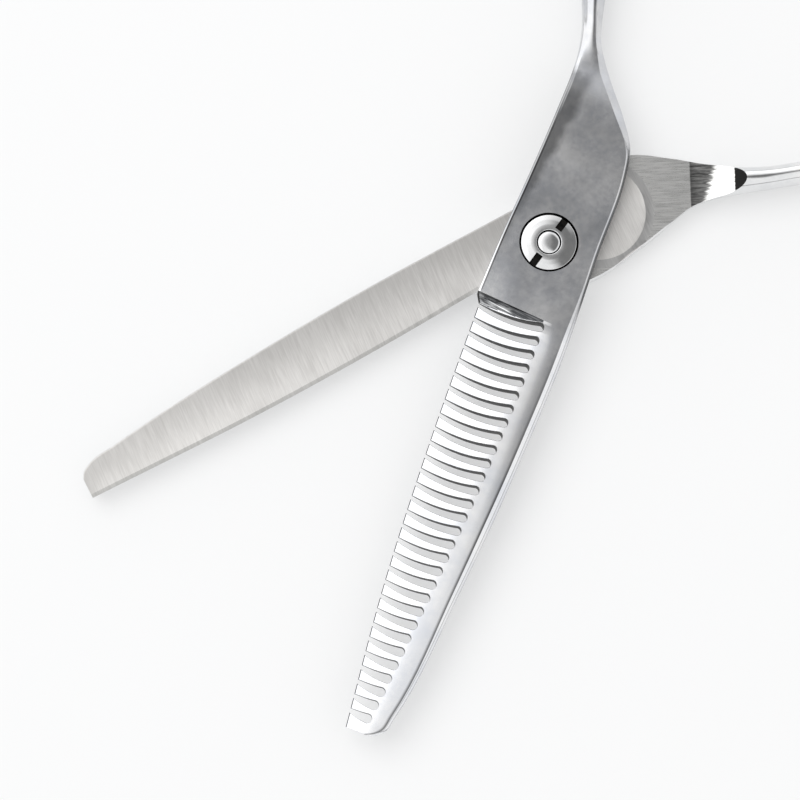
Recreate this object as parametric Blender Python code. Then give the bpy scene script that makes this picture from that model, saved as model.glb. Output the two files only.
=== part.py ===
"""Thinning shears, lying open.

Each half is one forging: blade, body, shank, neck and finger ring.  The toothed half is above and holds
the adjusting nut, the plain half is below and holds the pivot stud.

Frame: the origin is on the pivot axis, at the surface the shears lie on.  +Z runs up the pivot, and the
toothed blade points along -Y.  All sizes below are in millimetres; MM turns them into metres.

Both halves are drawn shut, in plan coordinates (a, b): a runs from the pivot towards the tip, and b
towards the half's own cutting edge.  The toothed half has its edge at -X (side -1), the plain half at
+X (side +1).  The plain half and all that turns with it hang on an empty, which opens them.
"""

import math

import bmesh
import bpy
import numpy as np
from mathutils import Matrix, Vector

MM = 0.001

# Driving dimensions -------------------------------------------------------------------------------
OPEN_ANGLE = 41.3           # degrees between the halves at rest
TOOTHED = -1                # side of each half: the sign of X at its cutting edge
PLAIN = 1

# Heights above the surface the shears lie on
PLAIN_OUTER = 0.3           # outer (lower) face of the plain half
PLAIN_INNER = 3.25
TOOTHED_INNER = 3.55
TOOTHED_OUTER = 7.2
MID_HEIGHT = 3.4            # middle of the necks and rings, in the plane where the blades meet
RING_HALF_HEIGHT = 3.4

# Plan of the toothed half
TOOTH_LINE = [(10.3, 5.38), (29.1, 4.6), (48.9, 3.16), (67.0, 0.92)]
TOOTHED_TIP = [(67.0, 0.92), (67.15, -0.8), (66.9, -2.4)]
TOOTHED_SPINE = [(66.9, -2.4), (65.8, -3.93), (63.7, -4.44), (46.0, -6.17), (25.1, -7.13), (12.2, -7.22),
                 (-0.7, -6.44), (-12.6, -5.9), (-15.5, -5.1), (-18.8, -2.96), (-22.6, 0.17), (-24.8, 1.85)]
TOOTHED_SHANK = [(-24.8, 5.6), (-18.0, 5.38), (-12.0, 5.45), (0.5, 5.95), (9.19, 6.08)]

# Plan of the plain half
CUTTING_EDGE = [(10.2, 1.1), (25.3, 2.1), (40.8, 2.75), (66.6, 2.93)]
PLAIN_TIP = [(66.6, 2.93), (66.8, 1.5), (66.3, -0.2)]
PLAIN_SPINE = [(66.3, -0.2), (65.0, -1.25), (61.1, -1.93), (50.8, -3.31), (40.8, -4.29), (25.3, -5.45),
               (2.0, -6.31), (-9.0, -6.7), (-15.2, -5.86), (-19.5, -3.2), (-23.7, -0.12), (-25.8, 1.3)]
PLAIN_SHANK = [(-25.8, 5.15), (-21.7, 3.95), (-19.4, 3.7), (-16.3, 4.24), (-3.4, 6.4), (4.0, 4.9),
               (10.2, 1.1)]

# Thinning slots
SLOT_COUNT = 30
SLOT_PITCH = 1.873
FIRST_SLOT = 10.51          # a of the first slot's mouth
SLOT_ROOTS = [(10.0, -3.55), (19.7, -3.84), (29.1, -3.77), (48.2, -2.95), (65.5, -1.75)]
SLOT_MOUTH_WIDTH = 0.52
SLOT_ROOT_WIDTH = 1.22

# Blade thickness, measured from the inner face
TIP_A = 67.0
THINNING_START = 4.0        # a from which the spine thins towards the tip
TOOTH_TIP_THICKNESS = 0.7
TOOTHED_TIP_THICKNESS = 1.7     # of the spine, at the tip
PLAIN_TIP_THICKNESS = 1.4
CUTTING_EDGE_THICKNESS = 0.35
SPINE_BEVEL = 0.75
SHANK_BEVEL = 0.3
BEVEL_FADE = (60.0, 72.0)       # a over which the spine bevel runs out
FACE_STATIONS = (-27.0, -24.5, -21.0, -17.5, -14.0, 4.0, 10.0, 25.0, 40.0, 55.0, 64.0, 70.0)
SHANK_END = -14.0           # a where the outer face starts to sink into the neck
SHANK_SINK = 1.15
SHANK_SINK_LENGTH = 10.5
RICASSO_A = 9.75            # where the hollow above the teeth stops in a step
RICASSO_LEAN = 0.65         # by which the step leans back at the tooth line
RIDGE_INSET = 0.9           # from the slot roots to the ridge of the hollow
EDGE_GRIND_START = 6.0
EDGE_GRIND_INSET = 0.3      # share of the width left flat outside the plain blade

# Necks: a, b, half width, lowest and highest point of each station
TOOTHED_NECK = [(-12.0, 0.0, 4.4, 3.9, 6.9), (-18.0, 1.2, 3.3, 3.8, 6.9), (-22.5, 2.8, 2.3, 2.6, 6.5),
                (-25.0, 3.85, 1.6, 1.8, 6.2), (-27.0, 4.65, 1.3, 1.4, 6.0), (-32.0, 6.3, 1.4, 1.0, 5.8),
                (-41.0, 9.2, 1.55, 0.9, 5.9), (-50.0, 11.8, 1.8, 0.7, 6.1), (-54.2, 13.0, 1.7, 0.9, 5.9)]
PLAIN_NECK = [(-12.0, 0.0, 4.4, 0.6, 2.9), (-19.0, 0.6, 2.9, 0.5, 3.1), (-23.5, 2.2, 2.0, 0.6, 4.6),
              (-26.5, 3.5, 1.65, 0.9, 5.7), (-32.0, 5.6, 1.4, 1.0, 5.8), (-38.0, 8.1, 1.6, 0.8, 6.0),
              (-43.5, 10.8, 1.8, 0.7, 6.1), (-46.0, 11.9, 1.7, 0.9, 5.9)]
NECK_SIDES = 16

# Finger rings: middle of the opening, and the tilt of its long axis away from the handle's centreline
RING_RADIUS = 12.5          # across, to the middle of the band
RING_LENGTH_RADIUS = 14.7   # along
RING_BAND = 2.0             # half the band's width across
FINGER_RING = (-69.0, 16.2)
FINGER_TILT = 14.0
THUMB_RING = (-60.0, 16.2)
THUMB_TILT = 16.0

# Ground inner face round the pivot
RIDE_CENTRE = (-7.9, -1.05)
RIDE_RADIUS = 6.15
RELIEF_WIDTH = 1.1
RELIEF_DEPTH = 0.3
WHEEL_START = 18.7          # where the scoop begins to rise towards the neck
WHEEL_RADIUS = 10.5
WHEEL_SWING = 62.0          # degrees of the wheel's arc that touch the steel
WHEEL_STEPS = 10
SCOOP_HALF_WIDTH = 14.0
TOOTHED_SCOOP_ANGLE = 16.0
PLAIN_SCOOP_ANGLE = 25.0

# Pivot
STUD_HEAD_RADIUS = 4.0
STUD_HEAD_TOP = 1.2
STUD_SQUARE = 3.8           # square neck that keeps the stud from turning
STUD_RADIUS = 1.9
THREAD_RADIUS = 1.4
STUD_TOP = 7.3
STUD_DOME = [(1.4, 0.35), (1.15, 0.12), (0.6, 0.02), (0.0, 0.0)]    # radius, depth below the top
FIT_GAP = 0.3               # left between faceted faces that touch on the real thing
BUSH_INNER = 2.15
BUSH_OUTER = 2.7
SLIP_OUTER = 4.3
SLIP_THICKNESS = 0.45
SLIP_RECESS_TOP = 4.35
COUNTERBORE_RADIUS = 3.81
COUNTERBORE_FLOOR = 5.05
NUT_RADIUS = 3.62
NUT_BOTTOM = 6.3
NUT_TOP = 7.25
NUT_HUB_RADIUS = 2.25
NUT_BORE = 1.57
NOTCH_WIDTH = 0.96
NOTCH_START = 1.98
NOTCH_FLOOR = 6.65
NOTCH_ANGLE = 75.4          # degrees from +X
WASHER_INNER = 2.55
WASHER_OUTER = 3.5
WAVE_COUNT = 3
WAVE_HEIGHT = 0.1

# Bumper and finger rest
BUMPER_A = -65.0            # where the rings run closest together
BUMPER_RADIUS = 2.1
REST_PATH = [(1.2, 0.0), (6.0, 0.3), (12.0, 2.6), (16.8, 7.4), (18.6, 13.4)]    # along, outwards
REST_RADIUS = 1.6
REST_COLLAR = [(0, -2.2), (0.9, -2.2), (0.9, 0.75), (2.1, 0.75), (2.3, 0.95), (2.3, 1.7), (1.7, 2.3),
               (0, 2.3)]    # radius and height of the collar and its stud

TURNED_STEPS = 32


# Helpers ------------------------------------------------------------------------------------------
def clear_scene():
    for obj in list(bpy.data.objects):
        bpy.data.objects.remove(obj, do_unlink=True)


def new_collection(name):
    collection = bpy.data.collections.new(name)
    bpy.context.scene.collection.children.link(collection)
    return collection


def add_object(name, mesh, collection):
    obj = bpy.data.objects.new(name, mesh)
    collection.objects.link(obj)
    return obj


def add_cutter(name, mesh):
    obj = add_object(name, mesh, CUTTERS)
    obj.hide_render = True
    obj.display_type = "WIRE"
    return obj


def place(side, a, b, z):
    """World position, in metres, of a plan point of the half on this side."""
    return Vector((side * b, -a, z)) * MM


def smooth(points, steps=4):
    """Points of a smooth curve through the given ones, with tangents weighted by chord length."""
    given = np.array(points, dtype=float)
    chord = np.linalg.norm(np.diff(given, axis=0), axis=1)
    travelled = np.concatenate(([0.0], np.cumsum(chord)))
    tangent = np.gradient(given, travelled, axis=0)
    fine = []
    for i, length in enumerate(chord):
        for t in np.linspace(0.0, 1.0, steps, endpoint=False):
            start = (1 + 2 * t) * (1 - t) ** 2 * given[i] + t * (1 - t) ** 2 * length * tangent[i]
            end = t * t * (3 - 2 * t) * given[i + 1] - t * t * (1 - t) * length * tangent[i + 1]
            fine.append(tuple(start + end))
    fine.append(tuple(given[-1]))
    return fine


def height_at(run, a):
    """The b of a smooth run of plan points at distance a."""
    fine = sorted(smooth(run, 6))
    return float(np.interp(a, [p[0] for p in fine], [p[1] for p in fine]))


def closed_outline(runs, steps=4):
    """One loop of points from smooth runs that meet at corners."""
    loop = []
    for run in runs:
        for point in smooth(run, steps):
            if not loop or math.dist(point, loop[-1]) > 0.01:
                loop.append(point)
    if math.dist(loop[0], loop[-1]) < 0.01:
        loop.pop()
    return loop


def plate_mesh(name, outline, side, low, high):
    """A flat outline of plan points given a thickness: a filled 2D curve, made a mesh and welded."""
    curve = bpy.data.curves.new(name, "CURVE")
    curve.dimensions = "2D"
    curve.fill_mode = "BOTH"
    curve.extrude = (high - low) / 2 * MM
    spline = curve.splines.new("POLY")
    spline.points.add(len(outline) - 1)
    for point, (a, b) in zip(spline.points, outline):
        point.co = (*place(side, a, b, 0.0), 1.0)
    spline.use_cyclic_u = True
    holder = add_object(name + "_curve", curve, CUTTERS)
    graph = bpy.context.evaluated_depsgraph_get()
    mesh = bpy.data.meshes.new_from_object(holder.evaluated_get(graph))
    bpy.data.objects.remove(holder)
    bm = bmesh.new()
    bm.from_mesh(mesh)
    bmesh.ops.translate(bm, verts=bm.verts, vec=(0.0, 0.0, (low + high) / 2 * MM))
    bmesh.ops.remove_doubles(bm, verts=bm.verts, dist=0.000001)
    bmesh.ops.recalc_face_normals(bm, faces=bm.faces)
    bm.to_mesh(mesh)
    bm.free()
    return mesh


def loft_mesh(name, sections):
    """A closed skin over a row of sections that have the same number of points, in metres."""
    bm = bmesh.new()
    rows = []
    for section in sections:
        rows.append([bm.verts.new(point) for point in section])
    count = len(rows[0])
    for near, far in zip(rows, rows[1:]):
        for i in range(count):
            j = (i + 1) % count
            bm.faces.new((near[i], near[j], far[j], far[i]))
    bm.faces.new(rows[0])
    bm.faces.new(rows[-1])
    bmesh.ops.recalc_face_normals(bm, faces=bm.faces)
    bmesh.ops.triangulate(bm, faces=bm.faces)
    mesh = bpy.data.meshes.new(name)
    bm.to_mesh(mesh)
    bm.free()
    return mesh


def cylinder_mesh(name, radius, low, high, steps=TURNED_STEPS, matrix=None):
    """A cylinder on the Z axis between two heights, then moved by the matrix."""
    bm = bmesh.new()
    bmesh.ops.create_cone(bm, cap_ends=True, segments=steps, radius1=radius * MM, radius2=radius * MM,
                          depth=(high - low) * MM)
    bmesh.ops.translate(bm, verts=bm.verts, vec=(0.0, 0.0, (low + high) / 2 * MM))
    if matrix is not None:
        bmesh.ops.transform(bm, matrix=matrix, verts=bm.verts)
    mesh = bpy.data.meshes.new(name)
    bm.to_mesh(mesh)
    bm.free()
    return mesh


def box_mesh(name, size, centre, matrix):
    bm = bmesh.new()
    bmesh.ops.create_cube(bm, size=1.0)
    bmesh.ops.scale(bm, vec=Vector(size) * MM, verts=bm.verts)
    bmesh.ops.translate(bm, vec=Vector(centre) * MM, verts=bm.verts)
    bmesh.ops.transform(bm, matrix=matrix, verts=bm.verts)
    mesh = bpy.data.meshes.new(name)
    bm.to_mesh(mesh)
    bm.free()
    return mesh


def turned_mesh(name, profile, steps=TURNED_STEPS):
    """A closed loop of (radius, height) points turned about Z."""
    bm = bmesh.new()
    verts = [bm.verts.new((r * MM, 0.0, z * MM)) for r, z in profile]
    edges = [bm.edges.new((verts[i], verts[(i + 1) % len(verts)])) for i in range(len(verts))]
    bmesh.ops.spin(bm, geom=verts + edges, cent=(0, 0, 0), axis=(0, 0, 1), angle=math.tau, steps=steps,
                   use_merge=True)
    bmesh.ops.remove_doubles(bm, verts=bm.verts, dist=0.000001)
    bmesh.ops.recalc_face_normals(bm, faces=bm.faces)
    mesh = bpy.data.meshes.new(name)
    bm.to_mesh(mesh)
    bm.free()
    return mesh


def boolean(obj, tool, operation):
    """Apply an exact Boolean to the object and drop the tool."""
    modifier = obj.modifiers.new(operation.lower(), "BOOLEAN")
    modifier.operation = operation
    modifier.solver = "EXACT"
    modifier.object = tool
    graph = bpy.context.evaluated_depsgraph_get()
    mesh = bpy.data.meshes.new_from_object(obj.evaluated_get(graph))
    bm = bmesh.new()
    bm.from_mesh(mesh)
    bmesh.ops.remove_doubles(bm, verts=bm.verts, dist=0.000002)
    bmesh.ops.dissolve_degenerate(bm, edges=bm.edges, dist=0.000001)
    bm.to_mesh(mesh)
    bm.free()
    obj.modifiers.clear()
    obj.data = mesh
    bpy.data.objects.remove(tool)


def cut(obj, mesh):
    boolean(obj, add_cutter(obj.name + "_cutter", mesh), "DIFFERENCE")


def join(obj, mesh):
    boolean(obj, add_cutter(obj.name + "_addition", mesh), "UNION")


def material(name, colour, roughness, metallic):
    made = bpy.data.materials.new(name)
    made.use_nodes = True
    shader = made.node_tree.nodes["Principled BSDF"]
    shader.inputs["Base Color"].default_value = (*colour, 1.0)
    shader.inputs["Roughness"].default_value = roughness
    shader.inputs["Metallic"].default_value = metallic
    return made


def finish(obj, made, angle=30.0):
    """Give the piece its material and smooth shading with sharp edges kept."""
    obj.data.materials.clear()
    obj.data.materials.append(made)
    obj.data.shade_smooth()
    obj.data.set_sharp_from_angle(angle=math.radians(angle))
    return obj


# Pieces of a half ---------------------------------------------------------------------------------
def neck_mesh(name, side, stations):
    """Oval sections along the neck, square to its path in plan."""
    path = smooth(stations, 3)
    sections = []
    for i, (a, b, half_width, low, high) in enumerate(path):
        before = path[max(i - 1, 0)]
        after = path[min(i + 1, len(path) - 1)]
        along = place(side, after[0], after[1], 0) - place(side, before[0], before[1], 0)
        across = along.cross(Vector((0, 0, 1))).normalized()
        centre = place(side, a, b, (low + high) / 2)
        section = []
        for k in range(NECK_SIDES):
            turn = math.tau * k / NECK_SIDES
            rise = Vector((0, 0, math.sin(turn) * (high - low) / 2 * MM))
            section.append(centre + across * math.cos(turn) * half_width * MM + rise)
        sections.append(section)
    return loft_mesh(name, sections)


def ring_matrix(side, centre, tilt):
    """Turns the ring's long axis, along Y, by its tilt, and moves it to its centre."""
    return Matrix.Translation(place(side, *centre, MID_HEIGHT)) @ Matrix.Rotation(
        math.radians(-side * tilt), 4, "Z")


def ring_mesh(name, side, centre, tilt):
    """A finger ring: a torus stretched along the handle and in height."""
    bpy.ops.mesh.primitive_torus_add(major_segments=40, minor_segments=12, major_radius=1.0,
                                     minor_radius=RING_BAND / RING_RADIUS)
    torus = bpy.context.active_object
    mesh = torus.data
    bpy.data.objects.remove(torus)
    stretch = Matrix.Diagonal((RING_RADIUS * MM, RING_LENGTH_RADIUS * MM,
                               RING_HALF_HEIGHT / RING_BAND * RING_RADIUS * MM, 1.0))
    mesh.transform(ring_matrix(side, centre, tilt) @ stretch)
    mesh.name = name
    return mesh


def ring_side(centre, tilt, a):
    """The b of a ring's outer face nearest the other handle, at distance a."""
    turn = math.radians(tilt)
    nearest = centre[1]
    for k in range(720):
        angle = math.tau * k / 720
        across = (RING_RADIUS + RING_BAND) * math.cos(angle)
        along = RING_LENGTH_RADIUS * (1 + RING_BAND / RING_RADIUS) * math.sin(angle)
        point_a = centre[0] - along * math.cos(turn) + across * math.sin(turn)
        point_b = centre[1] + along * math.sin(turn) + across * math.cos(turn)
        if abs(point_a - a) < 0.25:
            nearest = min(nearest, point_b)
    return nearest


def spine_thinning(a, thickness, tip_thickness):
    """How much the spine has thinned at a, from the start of the thinning to the tip."""
    share = (a - THINNING_START) / (TIP_A - THINNING_START)
    return (thickness - tip_thickness) * max(share, 0.0)


def outer_face_cutter(side, spine, shank, inner, outer, tip_thickness):
    """All that lies outside the half's outer face: it thins to the tip, and sinks into the neck."""
    away = 1 if outer > inner else -1
    thickness = abs(outer - inner)
    clear = 2.5
    depth = 2.0
    sections = []
    for a in FACE_STATIONS:
        on_blade = a >= 10.0
        here = thickness - spine_thinning(a, thickness, tip_thickness)
        here -= SHANK_SINK * (max(SHANK_END - a, 0.0) / SHANK_SINK_LENGTH) ** 2
        back = height_at(spine, min(a, TIP_A - 1.0)) if a > SHANK_END else -9.0
        bevel = SPINE_BEVEL if a > 10.0 else SHANK_BEVEL
        bevel *= min(1.0, (BEVEL_FADE[1] - a) / (BEVEL_FADE[1] - BEVEL_FADE[0]))
        face = inner + away * here
        far = inner + away * (thickness + 3.0)
        drop = away * (depth + bevel * 0.8)
        section = [place(side, a, back - clear, face - drop), place(side, a, back + bevel, face)]
        if on_blade:
            section += [place(side, a, 4.0, face), place(side, a, 9.0, face), place(side, a, 9.0, far)]
        else:
            front = height_at(shank, a)
            section += [place(side, a, front - SHANK_BEVEL, face)]
            section += [place(side, a, front + clear, face - drop), place(side, a, front + clear, far)]
        section += [place(side, a, back - clear, far)]
        sections.append(section)
    return loft_mesh("outer_face", sections)


def tooth_grind_cutter():
    """The hollow above the teeth, from the step at the ricasso to the tip."""
    blade = TOOTHED_OUTER - TOOTHED_INNER
    floor = TOOTHED_INNER + TOOTH_TIP_THICKNESS
    end = TIP_A + 4.0
    above = TOOTHED_OUTER + 2.0
    sections = []
    for share in (0.0, 0.012, 0.2, 0.4, 0.6, 0.8, 1.0):
        a = RICASSO_A + share * (end - RICASSO_A)
        clamped = min(a, TIP_A)
        spine_z = TOOTHED_OUTER - spine_thinning(clamped, blade, TOOTHED_TIP_THICKNESS)
        ridge_b = height_at(SLOT_ROOTS, clamped) - RIDGE_INSET
        tip = height_at(TOOTH_LINE, max(clamped, 10.6))
        slope = (spine_z - floor) / (tip - ridge_b - 0.6) if share > 0 else 0.0
        bottom = floor if share > 0 else spine_z
        leant = a - RICASSO_LEAN
        section = [place(TOOTHED, a, ridge_b, spine_z + 0.02)]
        section += [place(TOOTHED, a - RICASSO_LEAN * 0.1, ridge_b + 1.2, spine_z - slope * 0.6)]
        section += [place(TOOTHED, leant, tip + 0.7, bottom - slope * 0.4)]
        section += [place(TOOTHED, leant, tip + 3.0, bottom - slope * 2.2)]
        section += [place(TOOTHED, leant, tip + 3.0, above), place(TOOTHED, a, ridge_b, above)]
        sections.append(section)
    return loft_mesh("tooth_grind", sections)


def slot_outline(mouth_a):
    """A slot that bows towards the tip and widens from its mouth to its round root."""
    mouth_b = height_at(TOOTH_LINE, mouth_a)
    root_b = height_at(SLOT_ROOTS, mouth_a)
    length = mouth_b - root_b - SLOT_ROOT_WIDTH / 2
    bow_middle = 1.08 + 0.39 * length
    bow_radius = 7.9 + 1.06 * length

    def centre(depth):
        return mouth_a + depth * (2 * bow_middle - depth) / (2 * bow_radius)

    def half_width(depth):
        share = max(depth, 0.0) / length
        return (SLOT_MOUTH_WIDTH + (SLOT_ROOT_WIDTH - SLOT_MOUTH_WIDTH) * share ** 0.7) / 2

    depths = [-1.5] + [length * k / 5 for k in range(6)]
    near = [(centre(d) - half_width(d), mouth_b - d) for d in depths]
    far = [(centre(d) + half_width(d), mouth_b - d) for d in reversed(depths)]
    radius = SLOT_ROOT_WIDTH / 2
    end_a = centre(length)
    end = []
    for k in (1, 2, 3):
        turn = math.pi * k / 4
        end.append((end_a - radius * math.cos(turn), mouth_b - length - radius * math.sin(turn)))
    return near + end + far


def slots_mesh():
    """All the slots as one group of separate cutters."""
    bm = bmesh.new()
    for k in range(SLOT_COUNT):
        outline = slot_outline(FIRST_SLOT + k * SLOT_PITCH)
        slot = plate_mesh("slot", outline, TOOTHED, TOOTHED_INNER - 1.0, TOOTHED_OUTER + 1.0)
        bm.from_mesh(slot)
        bpy.data.meshes.remove(slot)
    mesh = bpy.data.meshes.new("slots")
    bm.to_mesh(mesh)
    bm.free()
    return mesh


def inner_face_cutter(side, inner, toward_other, angle):
    """The ground relief behind the ride: level at first, then rising on a wheel's arc to the neck."""
    turn = math.radians(angle)
    start = 4.0
    above = 7.0
    profile = [(start, -RELIEF_DEPTH), (WHEEL_START, -RELIEF_DEPTH)]
    for k in range(1, WHEEL_STEPS + 1):
        swing = math.radians(WHEEL_SWING * k / WHEEL_STEPS)
        profile.append((WHEEL_START + WHEEL_RADIUS * math.sin(swing),
                        WHEEL_RADIUS * (1 - math.cos(swing)) - RELIEF_DEPTH))
    profile += [(profile[-1][0], above), (start, above)]
    sections = []
    for across in (-SCOOP_HALF_WIDTH, SCOOP_HALF_WIDTH):
        section = []
        for along, rise in profile:
            a = -along * math.cos(turn) - across * math.sin(turn)
            b = along * math.sin(turn) - across * math.cos(turn)
            section.append(place(side, a, b, inner + toward_other * rise))
        sections.append(section)
    cutter = add_cutter("inner_face", loft_mesh("inner_face", sections))
    bm = bmesh.new()
    low_radius = RIDE_RADIUS + RELIEF_WIDTH * (1 + 1.0 / RELIEF_DEPTH)
    bmesh.ops.create_cone(bm, cap_ends=True, segments=48, radius1=low_radius * MM,
                          radius2=RIDE_RADIUS * MM, depth=(RELIEF_DEPTH + 1.0) * MM)
    if toward_other < 0:
        bmesh.ops.transform(bm, matrix=Matrix.Rotation(math.pi, 4, "X"), verts=bm.verts)
    middle = inner - toward_other * (RELIEF_DEPTH + 1.0) / 2
    bmesh.ops.translate(bm, verts=bm.verts, vec=place(side, *RIDE_CENTRE, middle))
    pad = bpy.data.meshes.new("ride_pad")
    bm.to_mesh(pad)
    bm.free()
    cut(cutter, pad)
    above = cylinder_mesh("ride_above", RIDE_RADIUS, min(0, toward_other * 8), max(0, toward_other * 8),
                          48, Matrix.Translation(place(side, *RIDE_CENTRE, inner - toward_other * 0.02)))
    cut(cutter, above)
    mesh = cutter.data
    bpy.data.objects.remove(cutter)
    return mesh


def edge_grind_cutter():
    """The plain blade's outer side, ground away below towards the cutting edge."""
    blade = PLAIN_INNER - PLAIN_OUTER
    full_depth = blade - CUTTING_EDGE_THICKNESS
    beyond = 6.0
    below = -3.0
    sections = []
    for a in (EDGE_GRIND_START, 14.0, 30.0, 45.0, 60.0, 70.0):
        clamped = min(a, TIP_A - 0.5)
        edge = height_at(CUTTING_EDGE, clamped)
        spine = height_at(PLAIN_SPINE, min(clamped, 64.0))
        outer = PLAIN_OUTER + spine_thinning(clamped, blade, PLAIN_TIP_THICKNESS)
        start = spine + EDGE_GRIND_INSET * (edge - spine)
        blend = min(1.0, (a - EDGE_GRIND_START) / 6.0)
        edge_z = PLAIN_OUTER - 0.3 + (full_depth + 0.3) * blend
        slope = (edge_z - outer) / (edge - start)
        far_z = outer + slope * (edge + beyond - start)
        section = [place(PLAIN, a, start, outer), place(PLAIN, a, edge + beyond, far_z)]
        section += [place(PLAIN, a, edge + beyond, below), place(PLAIN, a, start, below)]
        sections.append(section)
    return loft_mesh("edge_grind", sections)


def half_blank(name, side, runs, stations, centre, tilt, inner, outer):
    """The forging before grinding: flat blade and body, neck and ring in one solid."""
    low, high = sorted((inner, outer))
    obj = add_object(name, plate_mesh(name, closed_outline(runs), side, low, high), PARTS)
    join(obj, neck_mesh(name + "_neck", side, stations))
    join(obj, ring_mesh(name + "_ring", side, centre, tilt))
    return obj


# Pieces -------------------------------------------------------------------------------------------
def rest_matrix():
    """Z along the finger rest's stud, out of the far end of the finger ring."""
    turn = math.radians(FINGER_TILT)
    reach = RING_LENGTH_RADIUS * (1 + RING_BAND / RING_RADIUS)
    seat = place(TOOTHED, FINGER_RING[0] - reach * math.cos(turn), FINGER_RING[1] + reach * math.sin(turn),
                 MID_HEIGHT)
    out = place(TOOTHED, -math.cos(turn), math.sin(turn), 0).normalized()
    outward = Vector((0, 0, 1)).cross(out)
    outward = -outward if outward.x > 0 else outward
    return Matrix.Translation(seat) @ Matrix((outward, out.cross(outward), out)).transposed().to_4x4()


def bumper_matrix():
    """Z out of the finger ring, towards the thumb ring, where they run closest together."""
    seat = ring_side(FINGER_RING, FINGER_TILT, BUMPER_A)
    return Matrix.Translation(place(TOOTHED, BUMPER_A, seat, MID_HEIGHT)) @ Matrix.Rotation(
        math.radians(90), 4, "Y")


def make_toothed_half(steel):
    runs = [TOOTH_LINE, TOOTHED_TIP, TOOTHED_SPINE, TOOTHED_SHANK]
    obj = half_blank("toothed_half", TOOTHED, runs, TOOTHED_NECK, FINGER_RING, FINGER_TILT,
                     TOOTHED_INNER, TOOTHED_OUTER)
    cut(obj, outer_face_cutter(TOOTHED, TOOTHED_SPINE, TOOTHED_SHANK, TOOTHED_INNER, TOOTHED_OUTER,
                               TOOTHED_TIP_THICKNESS))
    cut(obj, inner_face_cutter(TOOTHED, TOOTHED_INNER, -1, TOOTHED_SCOOP_ANGLE))
    cut(obj, tooth_grind_cutter())
    cut(obj, slots_mesh())
    cut(obj, cylinder_mesh("counterbore", COUNTERBORE_RADIUS, COUNTERBORE_FLOOR, TOOTHED_OUTER + 1, 48))
    cut(obj, cylinder_mesh("bush_bore", BUSH_OUTER + FIT_GAP, TOOTHED_INNER - 1, TOOTHED_OUTER))
    cut(obj, cylinder_mesh("slip_recess", SLIP_OUTER + FIT_GAP, TOOTHED_INNER - 1, SLIP_RECESS_TOP))
    for matrix, seat_radius in ((rest_matrix(), 2.6), (bumper_matrix(), BUMPER_RADIUS + 0.4)):
        cut(obj, cylinder_mesh("seat", seat_radius, -0.3, 3.0, 24, matrix))
        cut(obj, cylinder_mesh("stud_hole", 1.2, -2.6, 1.0, 16, matrix))
    return finish(obj, steel)


def make_plain_half(steel):
    runs = [CUTTING_EDGE, PLAIN_TIP, PLAIN_SPINE, PLAIN_SHANK]
    obj = half_blank("plain_half", PLAIN, runs, PLAIN_NECK, THUMB_RING, THUMB_TILT,
                     PLAIN_INNER, PLAIN_OUTER)
    cut(obj, outer_face_cutter(PLAIN, PLAIN_SPINE, PLAIN_SHANK, PLAIN_INNER, PLAIN_OUTER,
                               PLAIN_TIP_THICKNESS))
    cut(obj, inner_face_cutter(PLAIN, PLAIN_INNER, 1, PLAIN_SCOOP_ANGLE))
    cut(obj, edge_grind_cutter())
    cut(obj, cylinder_mesh("head_recess", STUD_HEAD_RADIUS + FIT_GAP, -1, STUD_HEAD_TOP + FIT_GAP))
    hole = STUD_SQUARE + 2 * FIT_GAP
    cut(obj, box_mesh("square_hole", (hole, hole, 8), (0, 0, 2), Matrix.Identity(4)))
    return finish(obj, steel)


def make_pivot_stud(steel):
    """Flat head below, square neck in the plain half, plain journal, then the threaded end."""
    flats = STUD_HEAD_TOP
    profile = [(0, 0), (STUD_HEAD_RADIUS - 0.4, 0), (STUD_HEAD_RADIUS, 0.4), (STUD_HEAD_RADIUS, flats)]
    profile += [(STUD_RADIUS, flats), (STUD_RADIUS, COUNTERBORE_FLOOR)]
    profile += [(THREAD_RADIUS, COUNTERBORE_FLOOR + 0.2)]
    profile += [(radius, STUD_TOP - depth) for radius, depth in STUD_DOME]
    obj = add_object("pivot_stud", turned_mesh("pivot_stud", profile), PARTS)
    neck_top = PLAIN_INNER + 0.05
    join(obj, box_mesh("square_neck", (STUD_SQUARE, STUD_SQUARE, neck_top - flats + 0.4),
                       (0, 0, (neck_top + flats - 0.4) / 2), Matrix.Identity(4)))
    return finish(obj, steel)


def washer_mesh(name, inner, outer, low, high):
    edge = min(0.1, (high - low) / 4)
    profile = [(inner, low), (outer - edge, low), (outer, low + edge), (outer, high - edge),
               (outer - edge, high), (inner, high)]
    return turned_mesh(name, profile, TURNED_STEPS)


def make_wave_spring(steel):
    """A thin washer bent into even waves."""
    low = COUNTERBORE_FLOOR + 0.75
    mesh = washer_mesh("wave_spring", WASHER_INNER, WASHER_OUTER - 0.1, low, low + 0.2)
    for vertex in mesh.vertices:
        angle = math.atan2(vertex.co.y, vertex.co.x)
        vertex.co.z += WAVE_HEIGHT * math.cos(WAVE_COUNT * angle) * MM
    return finish(add_object("wave_spring", mesh, PARTS), steel)


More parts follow.
